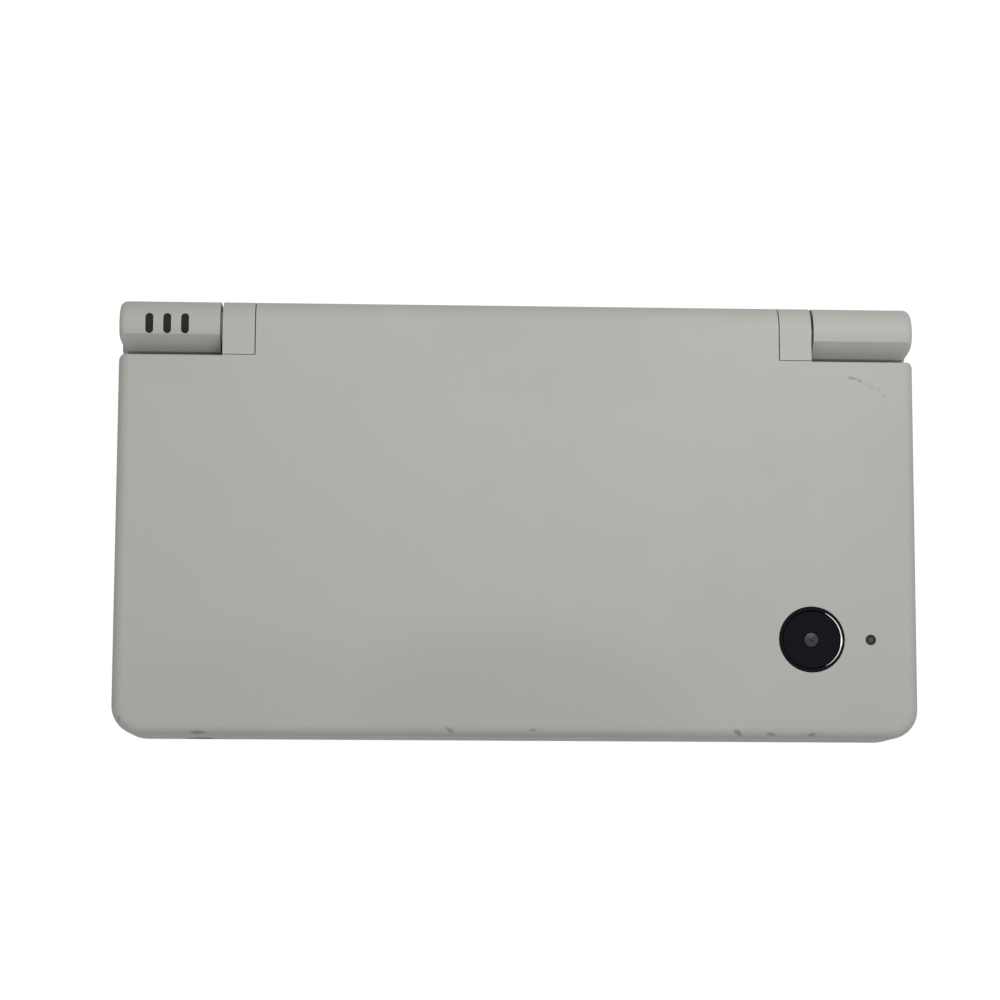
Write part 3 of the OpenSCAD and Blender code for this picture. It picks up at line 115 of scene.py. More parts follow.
class Graph:
    """Short hand for adding and joining nodes."""

    def __init__(self, tree: bpy.types.NodeTree) -> None:
        """Wraps a node tree."""
        self.tree = tree

    def add(self, kind: str, inputs: dict | None = None, **settings: object) -> bpy.types.Node:
        """Adds a node.

        Args:
            kind: Class name of the node.
            inputs: Values or sockets for its inputs, by name or index.
            settings: Values of the node's own properties.

        Returns:
            The node.
        """
        node = self.tree.nodes.new(kind)
        for key, value in settings.items():
            setattr(node, key, value)
        for key, value in (inputs or {}).items():
            self.join(value, node.inputs[key])
        return node

    def join(self, value: object, socket: Socket) -> None:
        """Links a socket, or sets a plain value.

        Args:
            value: A socket to link from, or a value.
            socket: The input that takes it.
        """
        if isinstance(value, Socket):
            self.tree.links.new(value, socket)
        else:
            socket.default_value = value

    def math(self, operation: str, a: object, b: object = 0.0, clamp: bool = False) -> Socket:
        """Adds a Math node.

        Args:
            operation: Name of the operation.
            a: First value or socket.
            b: Second value or socket.
            clamp: True to keep the result in 0 to 1.

        Returns:
            The result socket.
        """
        node = self.add("ShaderNodeMath", {0: a, 1: b}, operation=operation, use_clamp=clamp)
        return node.outputs[0]

    def plus(self, a: object, b: object) -> Socket:
        """Sum of two values, as a socket."""
        return self.math("ADD", a, b)

    def minus(self, a: object, b: object) -> Socket:
        """Difference of two values, as a socket."""
        return self.math("SUBTRACT", a, b)

    def times(self, a: object, b: object) -> Socket:
        """Product of two values, as a socket."""
        return self.math("MULTIPLY", a, b)

    def vector(self, operation: str, a: object, b: object = (0.0, 0.0, 0.0)) -> Socket:
        """Adds a Vector Math node.

        Args:
            operation: Name of the operation.
            a: First vector or socket.
            b: Second vector or socket.

        Returns:
            The vector socket.
        """
        return self.add("ShaderNodeVectorMath", {0: a, 1: b}, operation=operation).outputs[0]

    def length(self, vector: object) -> Socket:
        """Length of a vector, as a socket."""
        return self.add("ShaderNodeVectorMath", {0: vector}, operation="LENGTH").outputs["Value"]

    def split(self, vector: object) -> tuple[Socket, ...]:
        """The three parts of a vector, as sockets."""
        return tuple(self.add("ShaderNodeSeparateXYZ", {0: vector}).outputs)

    def combine(self, x: object = 0.0, y: object = 0.0, z: object = 0.0) -> Socket:
        """Joins three values into a vector socket."""
        return self.add("ShaderNodeCombineXYZ", {0: x, 1: y, 2: z}).outputs[0]

    def noise(self, vector: object, scale: object, detail: float = 2.0,
              roughness: float = 0.5) -> Socket:
        """Adds 3-D noise.

        Args:
            vector: Socket with the place.
            scale: Scale of the noise, per metre.
            detail: Octaves.
            roughness: Weight of the finer octaves.

        Returns:
            The factor socket.
        """
        node = self.add("ShaderNodeTexNoise",
                        {"Vector": vector, "Scale": scale, "Detail": detail, "Roughness": roughness})
        return node.outputs["Fac"]

    def ramp(self, factor: object, low: object, high: object, to_low: float = 0.0,
             to_high: float = 1.0) -> Socket:
        """Maps a range smoothly to another one.

        Args:
            factor: Value or socket.
            low: Start of the range.
            high: End of the range.
            to_low: Result at and below the start.
            to_high: Result at and above the end.

        Returns:
            The result socket.
        """
        node = self.add("ShaderNodeMapRange",
                        {"Value": factor, "From Min": low, "From Max": high,
                         "To Min": to_low, "To Max": to_high},
                        interpolation_type="SMOOTHSTEP")
        return node.outputs["Result"]

    def mix(self, factor: object, a: object, b: object) -> Socket:
        """Mixes two colours.

        Args:
            factor: Share of the second colour.
            a: First colour or socket.
            b: Second colour or socket.

        Returns:
            The colour socket.
        """
        node = self.add("ShaderNodeMix", data_type="RGBA")
        self.join(factor, node.inputs[0])
        for value, socket in ((a, node.inputs[6]), (b, node.inputs[7])):
            self.join((*value, 1.0) if isinstance(value, tuple) and len(value) == 3 else value, socket)
        return node.outputs[2]


class ShaderGroup:
    """A shader node group with named sockets, built once and placed in many materials."""

    def __init__(self, name: str, inputs: dict[str, object], outputs: tuple[str, ...]) -> None:
        """Makes the empty group.

        Args:
            name: Name of the group.
            inputs: Default value of each input; a triple makes a vector.
            outputs: Names of its value outputs.
        """
        self.tree = bpy.data.node_groups.new(name, "ShaderNodeTree")
        for key, value in inputs.items():
            kind = "NodeSocketVector" if isinstance(value, tuple) else "NodeSocketFloat"
            socket = self.tree.interface.new_socket(key, in_out="INPUT", socket_type=kind)
            socket.default_value = value
        for key in outputs:
            self.tree.interface.new_socket(key, in_out="OUTPUT", socket_type="NodeSocketFloat")
        self.graph = Graph(self.tree)
        self.source = self.tree.nodes.new("NodeGroupInput").outputs
        self.sink = self.tree.nodes.new("NodeGroupOutput").inputs

    def place(self, graph: Graph, vector: object, **values: object) -> bpy.types.NodeOutputs:
        """Places the group in a material.

        Args:
            graph: Graph of the material.
            vector: Socket with the place on the piece.
            values: Values of the other inputs, their names in small letters.

        Returns:
            The outputs of the placed group.
        """
        node = graph.add("ShaderNodeGroup", node_tree=self.tree)
        graph.join(vector, node.inputs["Vector"])
        for key, value in values.items():
            graph.join(value, node.inputs[key.title()])
        return node.outputs


ORIGIN = (0.0, 0.0, 0.0)
SPECKLE_SHADE = 0.75        # share of the colour that is left in a speckle
WEAR_POLISH = 0.3           # roughness that full wear takes away
SOIL_ROUGHNESS = 0.5        # roughness that full soil adds
GRAIN_HEIGHT = 0.04 * MM
PATCH_REACH = 3 * MM        # how deep a scuff or a patch of painted shade reaches into the piece
SCREEN_BORDER = 5 * MM      # printed border, measured on the display behind it
EVERYWHERE = 1.0            # half size of a mask that has no end in Z
SHARP = math.radians(35)    # edges bent more than this stay sharp
WELD = 1e-6                 # points that lie closer than this are one
LATHE_WELD = 1e-7           # the same in a turned mesh


def moulded_grain() -> ShaderGroup:
    """Fine spark-eroded texture of a moulded surface, as a height and a speckle.

    Returns:
        The group.
    """
    group = ShaderGroup("moulded_grain", {"Vector": ORIGIN, "Scale": 6000.0}, ("Height", "Speckle"))
    graph, place, scale = group.graph, group.source["Vector"], group.source["Scale"]
    fine = graph.noise(place, scale, detail=3.0, roughness=0.6)
    cells = graph.add("ShaderNodeTexVoronoi", {"Vector": place, "Scale": scale}, feature="F1")
    graph.join(graph.plus(fine, graph.times(cells.outputs["Distance"], 0.5)),
               group.sink["Height"])
    graph.join(graph.ramp(fine, 0.3, 0.7), group.sink["Speckle"])
    return group


def handling_marks() -> ShaderGroup:
    """Cloudy soiling, and streaks that hands have rubbed smooth, both 0 to 1.

    Returns:
        The group.
    """
    group = ShaderGroup("handling_marks", {"Vector": ORIGIN, "Scale": 25.0}, ("Soil", "Rub"))
    graph, place, scale = group.graph, group.source["Vector"], group.source["Scale"]
    cloud = graph.noise(place, scale, detail=4.0, roughness=0.62)
    streak = graph.noise(place, graph.times(scale, 6.0), detail=5.0, roughness=0.7)
    graph.join(graph.ramp(cloud, 0.42, 0.72), group.sink["Soil"])
    rub = graph.times(graph.ramp(streak, 0.5, 0.75), graph.ramp(cloud, 0.35, 0.6))
    graph.join(rub, group.sink["Rub"])
    return group


def edge_wear() -> ShaderGroup:
    """Wear that follows the edges of a boxy piece, broken up by noise, 0 to 1.

    Returns:
        The group.
    """
    group = ShaderGroup("edge_wear", {"Vector": ORIGIN, "Low": ORIGIN, "High": ORIGIN, "Reach": 0.0012,
                                      "Scale": 900.0}, ("Wear",))
    graph, place = group.graph, group.source["Vector"]
    to_faces = graph.vector("MINIMUM", graph.vector("SUBTRACT", place, group.source["Low"]),
                            graph.vector("SUBTRACT", group.source["High"], place))
    x, y, z = graph.split(to_faces)
    furthest = graph.math("MAXIMUM", x, graph.math("MAXIMUM", y, z))
    total = graph.plus(x, graph.plus(y, z))
    near = graph.ramp(graph.minus(total, furthest), 0.0, group.source["Reach"], 1.0, 0.0)
    chips = graph.ramp(graph.noise(place, group.source["Scale"], detail=4.0, roughness=0.7), 0.5, 0.68)
    graph.join(graph.times(near, chips), group.sink["Wear"])
    return group


def scuff_and_shade_mask() -> ShaderGroup:
    """One long smudge at a place, turned about +Z, with a ragged edge, 0 to 1; without the ragged edge, a
    wide, soft patch of painted shade.

    Returns:
        The group.
    """
    group = ShaderGroup("scuff_and_shade_mask", {"Vector": ORIGIN, "Middle": ORIGIN, "Half": (0.001, 0.001, 0.003),
                                       "Turn": 0.0, "Scale": 2500.0, "Ragged": 1.6}, ("Mask",))
    graph = group.graph
    offset = graph.vector("SUBTRACT", group.source["Vector"], group.source["Middle"])
    turned = graph.add("ShaderNodeVectorRotate", {"Vector": offset, "Angle": group.source["Turn"]},
                       rotation_type="Z_AXIS")
    reach = graph.length(graph.vector("DIVIDE", turned.outputs[0], group.source["Half"]))
    ragged = graph.noise(group.source["Vector"], group.source["Scale"], detail=3.0, roughness=0.65)
    torn = graph.times(graph.minus(ragged, 0.5), group.source["Ragged"])
    spread = graph.plus(reach, torn)
    graph.join(graph.ramp(spread, 0.35, 1.0, 1.0, 0.0), group.sink["Mask"])
    return group


def printed_panel() -> ShaderGroup:
    """Rounded rectangle in X and Y, 1 inside and 0 on the printed border round it.

    Returns:
        The group.
    """
    group = ShaderGroup("printed_panel", {"Vector": ORIGIN, "Middle": ORIGIN, "Half": (0.03, 0.02, 1.0),
                                          "Corner": 0.0008}, ("Mask",))
    graph, corner = group.graph, group.source["Corner"]
    away = graph.vector("ABSOLUTE", graph.vector("SUBTRACT", group.source["Vector"], group.source["Middle"]))
    past = graph.vector("SUBTRACT", away, group.source["Half"])
    x, y, _ = graph.split(past)
    outside = graph.combine(graph.math("MAXIMUM", graph.plus(x, corner), 0.0),
                            graph.math("MAXIMUM", graph.plus(y, corner), 0.0))
    border = graph.minus(graph.length(outside), corner)
    graph.join(graph.ramp(border, -0.00006, 0.00006, 1.0, 0.0), group.sink["Mask"])
    return group


@dataclass(frozen=True)
class SurfaceGroups:
    """The shader node groups that several finishes share."""

    grain: ShaderGroup = field(default_factory=moulded_grain)
    handling: ShaderGroup = field(default_factory=handling_marks)
    wear: ShaderGroup = field(default_factory=edge_wear)
    patch: ShaderGroup = field(default_factory=scuff_and_shade_mask)
    panel: ShaderGroup = field(default_factory=printed_panel)


@dataclass(frozen=True)
class CasePatch:
    """A mark on the outside of the case: a scuff, or a wide, soft patch of painted shade."""

    x: float
    y: float
    half_length: float
    half_width: float
    turn_deg: float = 0.0
    depth: float = 0.5
    z: float = 18.9
    ragged: float = 1.6

    def mask(self, graph: Graph, groups: SurfaceGroups, place: Socket) -> Socket:
        """Builds the mark's mask.

        Args:
            graph: Graph of the material.
            groups: The shared node groups.
            place: Socket with the place on the piece.

        Returns:
            The mask times the mark's depth.
        """
        outputs = groups.patch.place(
            graph, place, middle=(self.x * MM, self.y * MM, self.z * MM),
            half=(self.half_length * MM, self.half_width * MM, PATCH_REACH),
            turn=math.radians(-self.turn_deg), ragged=self.ragged)
        return graph.times(outputs["Mask"], self.depth)


@dataclass(frozen=True)
class Finish:
    """A procedural finish: grained, soiled, rubbed and worn plastic, metal or rubber."""

    name: str
    colour: Colour
    roughness: float
    grain: float = 0.0
    grain_scale: float = 6000.0
    speckle: float = 0.05
    soil: float = 0.05
    soil_colour: Colour = (0.2, 0.19, 0.16)
    rub: float = 0.05
    wear: float = 0.0
    wear_colour: Colour = (0.62, 0.62, 0.6)
    metallic: float = 0.0
    coat: float = 0.0
    specular: float = 0.5

    def base_colour(self, graph: Graph, groups: SurfaceGroups, place: Socket) -> object:
        """Colour before grain, soil and wear; a plain one here.

        Args:
            graph: Graph of the material.
            groups: The shared node groups.
            place: Socket with the place on the piece.

        Returns:
            A colour or a socket.
        """
        return self.colour

    def material(self, groups: SurfaceGroups, box: tuple[Place, Place] | None = None, name: str = "",
                 patches: tuple[CasePatch, ...] = ()) -> bpy.types.Material:
        """Builds the material.

        Args:
            groups: The shared node groups.
            box: Lowest and highest corner of the piece, where its edges are worn.
            name: Name of the material, or nothing for the finish's own.
            patches: Scuffs on the piece, and wide patches of painted shade.

        Returns:
            The material.
        """
        material = bpy.data.materials.new(name or self.name)
        material.use_nodes = True
        graph = Graph(material.node_tree)
        shader = material.node_tree.nodes["Principled BSDF"]
        place = graph.add("ShaderNodeTexCoord").outputs["Object"]
        marks = groups.handling.place(graph, place)
        grain = groups.grain.place(graph, place, scale=self.grain_scale)
        soil = graph.times(marks["Soil"], self.soil)
        # the marks join the soil mask: the scuffs as real dirt, the wide patches as painted shade, both
        # darkening towards the soil colour
        for patch in patches:
            soil = graph.math("MAXIMUM", soil, patch.mask(graph, groups, place))
        rub = graph.times(marks["Rub"], self.rub)
        dark = tuple(c * SPECKLE_SHADE for c in self.colour)
        colour = graph.mix(graph.times(grain["Speckle"], self.speckle),
                           self.base_colour(graph, groups, place), dark)
        colour = graph.mix(soil, colour, self.soil_colour)
        if self.wear and box:
            wear = groups.wear.place(graph, place, low=tuple(box[0]), high=tuple(box[1]))["Wear"]
            wear = graph.times(wear, self.wear)
            colour = graph.mix(wear, colour, self.wear_colour)
            rub = graph.plus(rub, graph.times(wear, WEAR_POLISH))
        graph.join(colour, shader.inputs["Base Color"])
        rough = graph.math("ADD", graph.minus(self.roughness, rub), graph.times(soil, SOIL_ROUGHNESS),
                           clamp=True)
        graph.join(rough, shader.inputs["Roughness"])
        shader.inputs["Metallic"].default_value = self.metallic
        shader.inputs["Coat Weight"].default_value = self.coat
        shader.inputs["Specular IOR Level"].default_value = self.specular
        if self.grain:
            bump = graph.add("ShaderNodeBump", {"Height": grain["Height"], "Distance": GRAIN_HEIGHT,
                                                "Strength": self.grain})
            graph.join(bump.outputs["Normal"], shader.inputs["Normal"])
        return material


@dataclass(frozen=True)
class PanelFinish(Finish):
    """Finish of a screen or its window: an image area inside a printed border."""

    middle: Place = ORIGIN
    half: Place = (0.03, 0.02, EVERYWHERE)
    corner: float = 0.8 * MM
    image: Colour = (0.016, 0.018, 0.02)

    def base_colour(self, graph: Graph, groups: SurfaceGroups, place: Socket) -> object:
        """The image area's colour inside the border's.

        Args:
            graph: Graph of the material.
            groups: The shared node groups.
            place: Socket with the place on the piece.

        Returns:
            The colour socket.
        """
        mask = groups.panel.place(graph, place, middle=self.middle, half=self.half,
                                  corner=self.corner)["Mask"]
        return graph.mix(mask, self.colour, self.image)


@dataclass(frozen=True)
class Lamp:
    """A square area lamp that faces the object."""

    name: str
    place: Place
    size: float
    watts: float


@dataclass
class Studio:
    """White floor, soft lamps and the camera of the photograph."""

    focal_px: float = 2730.45
    image_px: float = 1000.0
    sensor_mm: float = 36.0
    camera_at: Place = (-0.022624, -0.058527, 0.480692)
    pitch_deg: float = 7.547
    roll_deg: float = -2.475
    turn_deg: float = 0.531
    sky_low: float = 0.25
    sky_high: float = 0.65
    sky_right: float = 0.25
    sky_back: float = -0.3
    sky_full_at: float = 0.5
    floor_reach: float = 3.0
    floor_grey: float = 0.35
    glow: float = 1.22
    glow_share: float = 0.8
    lamps: tuple[Lamp, ...] = (Lamp("key", (0.06, 0.12, 0.22), 0.15, 0.25),
                               Lamp("rim", (-0.8, 0.12, 0.12), 0.25, 0.4))

    def camera(self) -> None:
        """Places the camera as it was fitted to the outline in the photograph."""
        data = bpy.data.cameras.new("camera")
        data.sensor_width = self.sensor_mm
        data.lens = self.focal_px * self.sensor_mm / self.image_px
        data.clip_start = 0.01
        camera = bpy.data.objects.new("camera", data)
        bpy.context.scene.collection.objects.link(camera)
        turn = (Matrix.Rotation(math.radians(self.turn_deg), 4, "Z")
                @ Matrix.Rotation(math.radians(self.pitch_deg), 4, "X")
                @ Matrix.Rotation(math.radians(self.roll_deg), 4, "Y"))
        camera.matrix_world = Matrix.Translation(self.camera_at) @ turn
        bpy.context.scene.camera = camera

    @staticmethod
    def light(lamp: Lamp) -> None:
        """Adds a lamp, turned towards the origin.

        Args:
            lamp: The lamp.
        """
        data = bpy.data.lights.new(lamp.name, "AREA")
        data.size = lamp.size
        data.energy = lamp.watts
        light = bpy.data.objects.new(lamp.name, data)
        light.location = lamp.place
        light.rotation_mode = "QUATERNION"
        light.rotation_quaternion = (-Vector(lamp.place)).to_track_quat("-Z", "Y")
        bpy.context.scene.collection.objects.link(light)

    @staticmethod
    def seen_plainly(graph: Graph) -> Socket:
        """1 for rays that show the background: from the camera, a reflection or glass.

        Args:
            graph: Graph of the floor or the world.

        Returns:
            The factor socket.
        """
        path = graph.add("ShaderNodeLightPath").outputs
        mirrored = graph.math("MAXIMUM", path["Is Glossy Ray"], path["Is Transmission Ray"])
        return graph.math("MAXIMUM", path["Is Camera Ray"], mirrored)

    def floor(self) -> None:
        """Makes the pale floor, which keeps a trace of the object's shadow and is clear from below."""
        mesh = bpy.data.meshes.new("floor")
        corners = ((-1, -1), (1, -1), (1, 1), (-1, 1))
        mesh.from_pydata([(x * self.floor_reach, y * self.floor_reach, 0) for x, y in corners],
                         [], [(0, 1, 2, 3)])
        floor = bpy.data.objects.new("floor", mesh)
        bpy.context.scene.collection.objects.link(floor)
        material = bpy.data.materials.new("floor_pale")
        material.use_nodes = True
        graph = Graph(material.node_tree)
        shader = material.node_tree.nodes["Principled BSDF"]
        shader.inputs["Base Color"].default_value = (self.floor_grey,) * 3 + (1.0,)
        shader.inputs["Roughness"].default_value = 0.9
        shader.inputs["Specular IOR Level"].default_value = 0.0
        glow = graph.add("ShaderNodeEmission", {"Color": (1.0, 1.0, 1.0, 1.0), "Strength": self.glow})
        share = graph.times(self.seen_plainly(graph), self.glow_share)
        mix = graph.add("ShaderNodeMixShader", {0: share, 1: shader.outputs[0], 2: glow.outputs[0]})
        below = graph.add("ShaderNodeNewGeometry").outputs["Backfacing"]
        clear = graph.add("ShaderNodeBsdfTransparent")
        surface = graph.add("ShaderNodeMixShader", {0: below, 1: mix.outputs[0], 2: clear.outputs[0]})
        graph.join(surface.outputs[0], material.node_tree.nodes["Material Output"].inputs["Surface"])
        mesh.materials.append(material)

    def world(self) -> None:
        """Lights the scene softly, least from the horizon, and shows white behind it."""
        world = bpy.data.worlds.new("studio")
        bpy.context.scene.world = world
        world.use_nodes = True
        graph = Graph(world.node_tree)
        background = world.node_tree.nodes["Background"]
        x, y, z = graph.split(graph.add("ShaderNodeTexCoord").outputs["Generated"])
        height = graph.ramp(z, 0.0, self.sky_full_at, self.sky_low, self.sky_high)
        aside = graph.plus(graph.times(x, self.sky_right), graph.times(y, self.sky_back))
        sky = graph.times(height, graph.plus(aside, 1.0))
        strength = graph.add("ShaderNodeMix", {0: self.seen_plainly(graph), 2: sky, 3: 1.0})
        background.inputs["Color"].default_value = (1.0, 1.0, 1.0, 1.0)
        graph.join(strength.outputs[0], background.inputs["Strength"])

    def build(self) -> None:
        """Sets up the studio."""
        bpy.context.scene.view_settings.view_transform = "Standard"
        self.camera()
        self.world()
        self.floor()
        for lamp in self.lamps:
            self.light(lamp)
        log.info("studio ready")


class Finishes:
    """The finish of each material slot, and the materials made from them."""

    lamp_glow_r = 0.35 * MM
    scuffed_and_shaded_nodes = ("lid_outer_shell", "hinge_cap_right")
    # in the order of the fields of a mark, lengths in mm; the last two are no scuffs but wide, soft patches
    # of painted shade that darken the front of the lid
    case_scuffs_and_shade = (
        CasePatch(57.7, 24.6, 0.9, 0.34, -12, 0.55), CasePatch(59.0, 24.2, 0.75, 0.36, -40, 0.5),
        CasePatch(60.6, 23.4, 1.9, 0.9, -40, 0.1), CasePatch(61.2, 22.8, 0.24, 0.6, 0, 0.3),
        CasePatch(62.3, 22.8, 0.24, 0.6, 0, 0.3), CasePatch(63.3, 21.6, 0.5, 0.3, 50, 0.35),
        CasePatch(62.6, 19.4, 0.26, 0.6, 0, 0.25), CasePatch(-67.0, -34.8, 0.3, 0.6, 0, 0.55, 17.2),
        CasePatch(-53.8, -36.9, 1.8, 0.5, 0, 0.7, 17.5), CasePatch(-11.4, -36.4, 1.3, 0.5, -35, 0.6, 18.0),
        CasePatch(2.7, -36.3, 0.8, 0.45, 0, 0.55, 18.0), CasePatch(37.5, -36.5, 1.2, 0.55, -35, 0.75, 17.8),
        CasePatch(43.1, -36.7, 1.1, 0.5, 0, 0.65, 17.8), CasePatch(50.2, -36.8, 0.9, 0.5, 0, 0.75, 17.8),
        CasePatch(45.3, 30.4, 1.6, 0.5, 10, 0.06), CasePatch(21.0, 29.1, 2.2, 0.7, -8, 0.05),
        # painted shade: the front of the lid darker across its middle and on its left
        CasePatch(0.0, -34.0, 45.0, 22.0, 0, 0.14, ragged=0.0),
        CasePatch(-45.0, -32.0, 40.0, 16.0, 0, 0.07, ragged=0.0),
    )

    def __init__(self, groups: SurfaceGroups) -> None:
        """Sets the finishes.

        Args:
            groups: The shared node groups.
        """
        self.groups = groups
        self.made: dict[str, bpy.types.Material] = {}
        grey = srgb(179, 179, 174)
        self.table = {
            Slot.CASE: Finish("case_matt", grey, 0.62, grain=0.5, soil=0.07, rub=0.12, wear=0.25,
                              specular=0.25),
            Slot.INNER: Finish("inner_matt", srgb(176, 177, 172), 0.6, grain=0.45, rub=0.1, wear=0.15,
                               specular=0.25),
            Slot.KEY: Finish("key_satin", srgb(172, 173, 169), 0.38, grain=0.1, coat=0.1),
            Slot.SOCKET: Finish("socket_black", (0.015, 0.015, 0.015), 0.5, grain=0.3),
            Slot.BUSH: Finish("bush_natural", (0.72, 0.72, 0.66), 0.4),
            Slot.RUBBER: Finish("rubber_matt", (0.3, 0.3, 0.28), 0.8, grain=0.4, specular=0.3),
            Slot.DISPLAY: Finish("display_dark", (0.02, 0.022, 0.025), 0.12, coat=0.6),
            Slot.WINDOW: Finish("window_black", (0.004, 0.005, 0.0075), 0.2, soil=0.01, specular=0.05),
            Slot.SHEET: Finish("sheet_steel", (0.6, 0.6, 0.6), 0.32, metallic=1.0),
            Slot.STEEL: Finish("plated_steel", (0.55, 0.55, 0.56), 0.3, metallic=1.0),
            Slot.BOARD: Finish("solder_mask", (0.01, 0.12, 0.045), 0.35, coat=0.3),
            Slot.BATTERY: Finish("battery_wrap", (0.5, 0.5, 0.46), 0.45),
            Slot.FILM: Finish("amber_film", (0.45, 0.2, 0.04), 0.3, coat=0.3),
        }
        smoke = Finish("window_smoke", (0.011, 0.012, 0.009), 0.55, grain=0.2, speckle=0.2, specular=0.12)
        r = self.lamp_glow_r
        lamp = PanelFinish("lamp_smoke", (0.02, 0.021, 0.02), 0.5, specular=0.15,
                           image=(0.075, 0.076, 0.072), middle=tuple(box_middle("camera_lamp_guide")),
                           half=(r, r, EVERYWHERE), corner=r)
        self.own = {
            "status_light_guide": smoke,
            "camera_lamp_guide": lamp,
            "upper_window": self.screen("upper_window", "upper_display", "gloss_window", 0.06, 0.35),
            "touch_panel": self.screen("touch_panel", "lower_display", "touch_film", 0.25, 0.3),
        }

    @staticmethod
    def screen(node: str, display: str, name: str, roughness: float, specular: float) -> PanelFinish:
        """Finish of a window over a display.

        Args:
            node: The window's node.
            display: The node of the display behind it.
            name: Name of the finish.
            roughness: Roughness of its face.
            specular: Strength of its reflections.

        Returns:
            The finish.
        """
        low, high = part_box(display)
        half = ((high[0] - low[0]) / 2 - SCREEN_BORDER, (high[1] - low[1]) / 2 - SCREEN_BORDER, EVERYWHERE)
        return PanelFinish(name, (0.004, 0.004, 0.005), roughness, soil=0.01, specular=specular,
                           middle=tuple(box_middle(node)), half=half)

    def piece(self, finish: Finish) -> bpy.types.Material:
        """Material of a finish, made once.

        Args:
            finish: The finish.

        Returns:
            The material.
        """
        if finish.name not in self.made:
            self.made[finish.name] = finish.material(self.groups)
            log.info("finish %s", finish.name)
        return self.made[finish.name]

    def of_slot(self, slot: Slot) -> bpy.types.Material:
        """Material of a slot's own finish."""
        return self.piece(self.table[slot])

    def node_material(self, name: str, slot: Slot) -> bpy.types.Material:
        """Material of a CAD node: its own where its edges wear, else its slot's.

        Args:
            name: The node.
            slot: Its material slot.

        Returns:
            The material.
        """
        finish = self.own.get(name, self.table[slot])
        if not finish.wear:
            return self.piece(finish)
        patches = self.case_scuffs_and_shade if name in self.scuffed_and_shaded_nodes else ()
        return finish.material(self.groups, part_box(name), f"{name}_{finish.name}", patches)

    def dress_nodes(self) -> None:
        """Gives every CAD node its finish."""
        for row in frame["record"]["subparts"]:
            node = frame["nodes"][row["node"]]
            node.data.materials.clear()
            node.data.materials.append(self.node_material(row["node"], Slot(row["material_slot"])))
            for polygon in node.data.polygons:
                polygon.material_index = 0
        log.info("dressed %d CAD nodes", len(frame["nodes"]))


def add_piece(name: str, mesh: bpy.types.Mesh, body: Body, replaced: str = "") -> None:
    """Links a finished mesh as a piece of the object.

    Args:
        name: Name of the piece.
        mesh: Its mesh, in place.
        body: The body that it rides on.
        replaced: CAD node that it stands for, if any.
    """
    piece = bpy.data.objects.new(name, mesh)
    bpy.context.scene.collection.objects.link(piece)
    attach(piece, body.value)
    if replaced:
        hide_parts(replaced)
    log.info("%s: %d faces on %s", name, len(mesh.polygons), body.value)


def smooth(mesh: bpy.types.Mesh) -> bpy.types.Mesh:
    """Shades a mesh smooth, but for its sharp edges.

    Args:
        mesh: The mesh.

    Returns:
        The same mesh.
    """
    mesh.shade_smooth()
    mesh.set_sharp_from_angle(angle=SHARP)
    return mesh


def lathe(name: str, profile: list[tuple[float, float]], middle: Place, steps: int = 96) -> bpy.types.Mesh:
    """Turns a closed profile about a vertical axis.

    Args:
        name: Name of the mesh.
        profile: Radius and height of each corner; the last joins the first.
        middle: Foot of the axis.
        steps: Faces round the axis.

    Returns:
        The mesh.
    """
    sheet = bmesh.new()
    rings = []
    for step in range(steps):
        angle = 2 * math.pi * step / steps
        rings.append([sheet.verts.new((middle[0] + r * math.cos(angle), middle[1] + r * math.sin(angle),
                                       middle[2] + z)) for r, z in profile])
    corners = len(profile)
    for step in range(steps):
        here, there = rings[step], rings[(step + 1) % steps]
        for corner in range(corners):
            after = (corner + 1) % corners
            if profile[corner][0] + profile[after][0] > 0:
                sheet.faces.new((here[corner], there[corner], there[after], here[after]))
    bmesh.ops.remove_doubles(sheet, verts=sheet.verts, dist=LATHE_WELD)
    bmesh.ops.recalc_face_normals(sheet, faces=sheet.faces)
    mesh = bpy.data.meshes.new(name)
    sheet.to_mesh(mesh)
    sheet.free()
    return smooth(mesh)


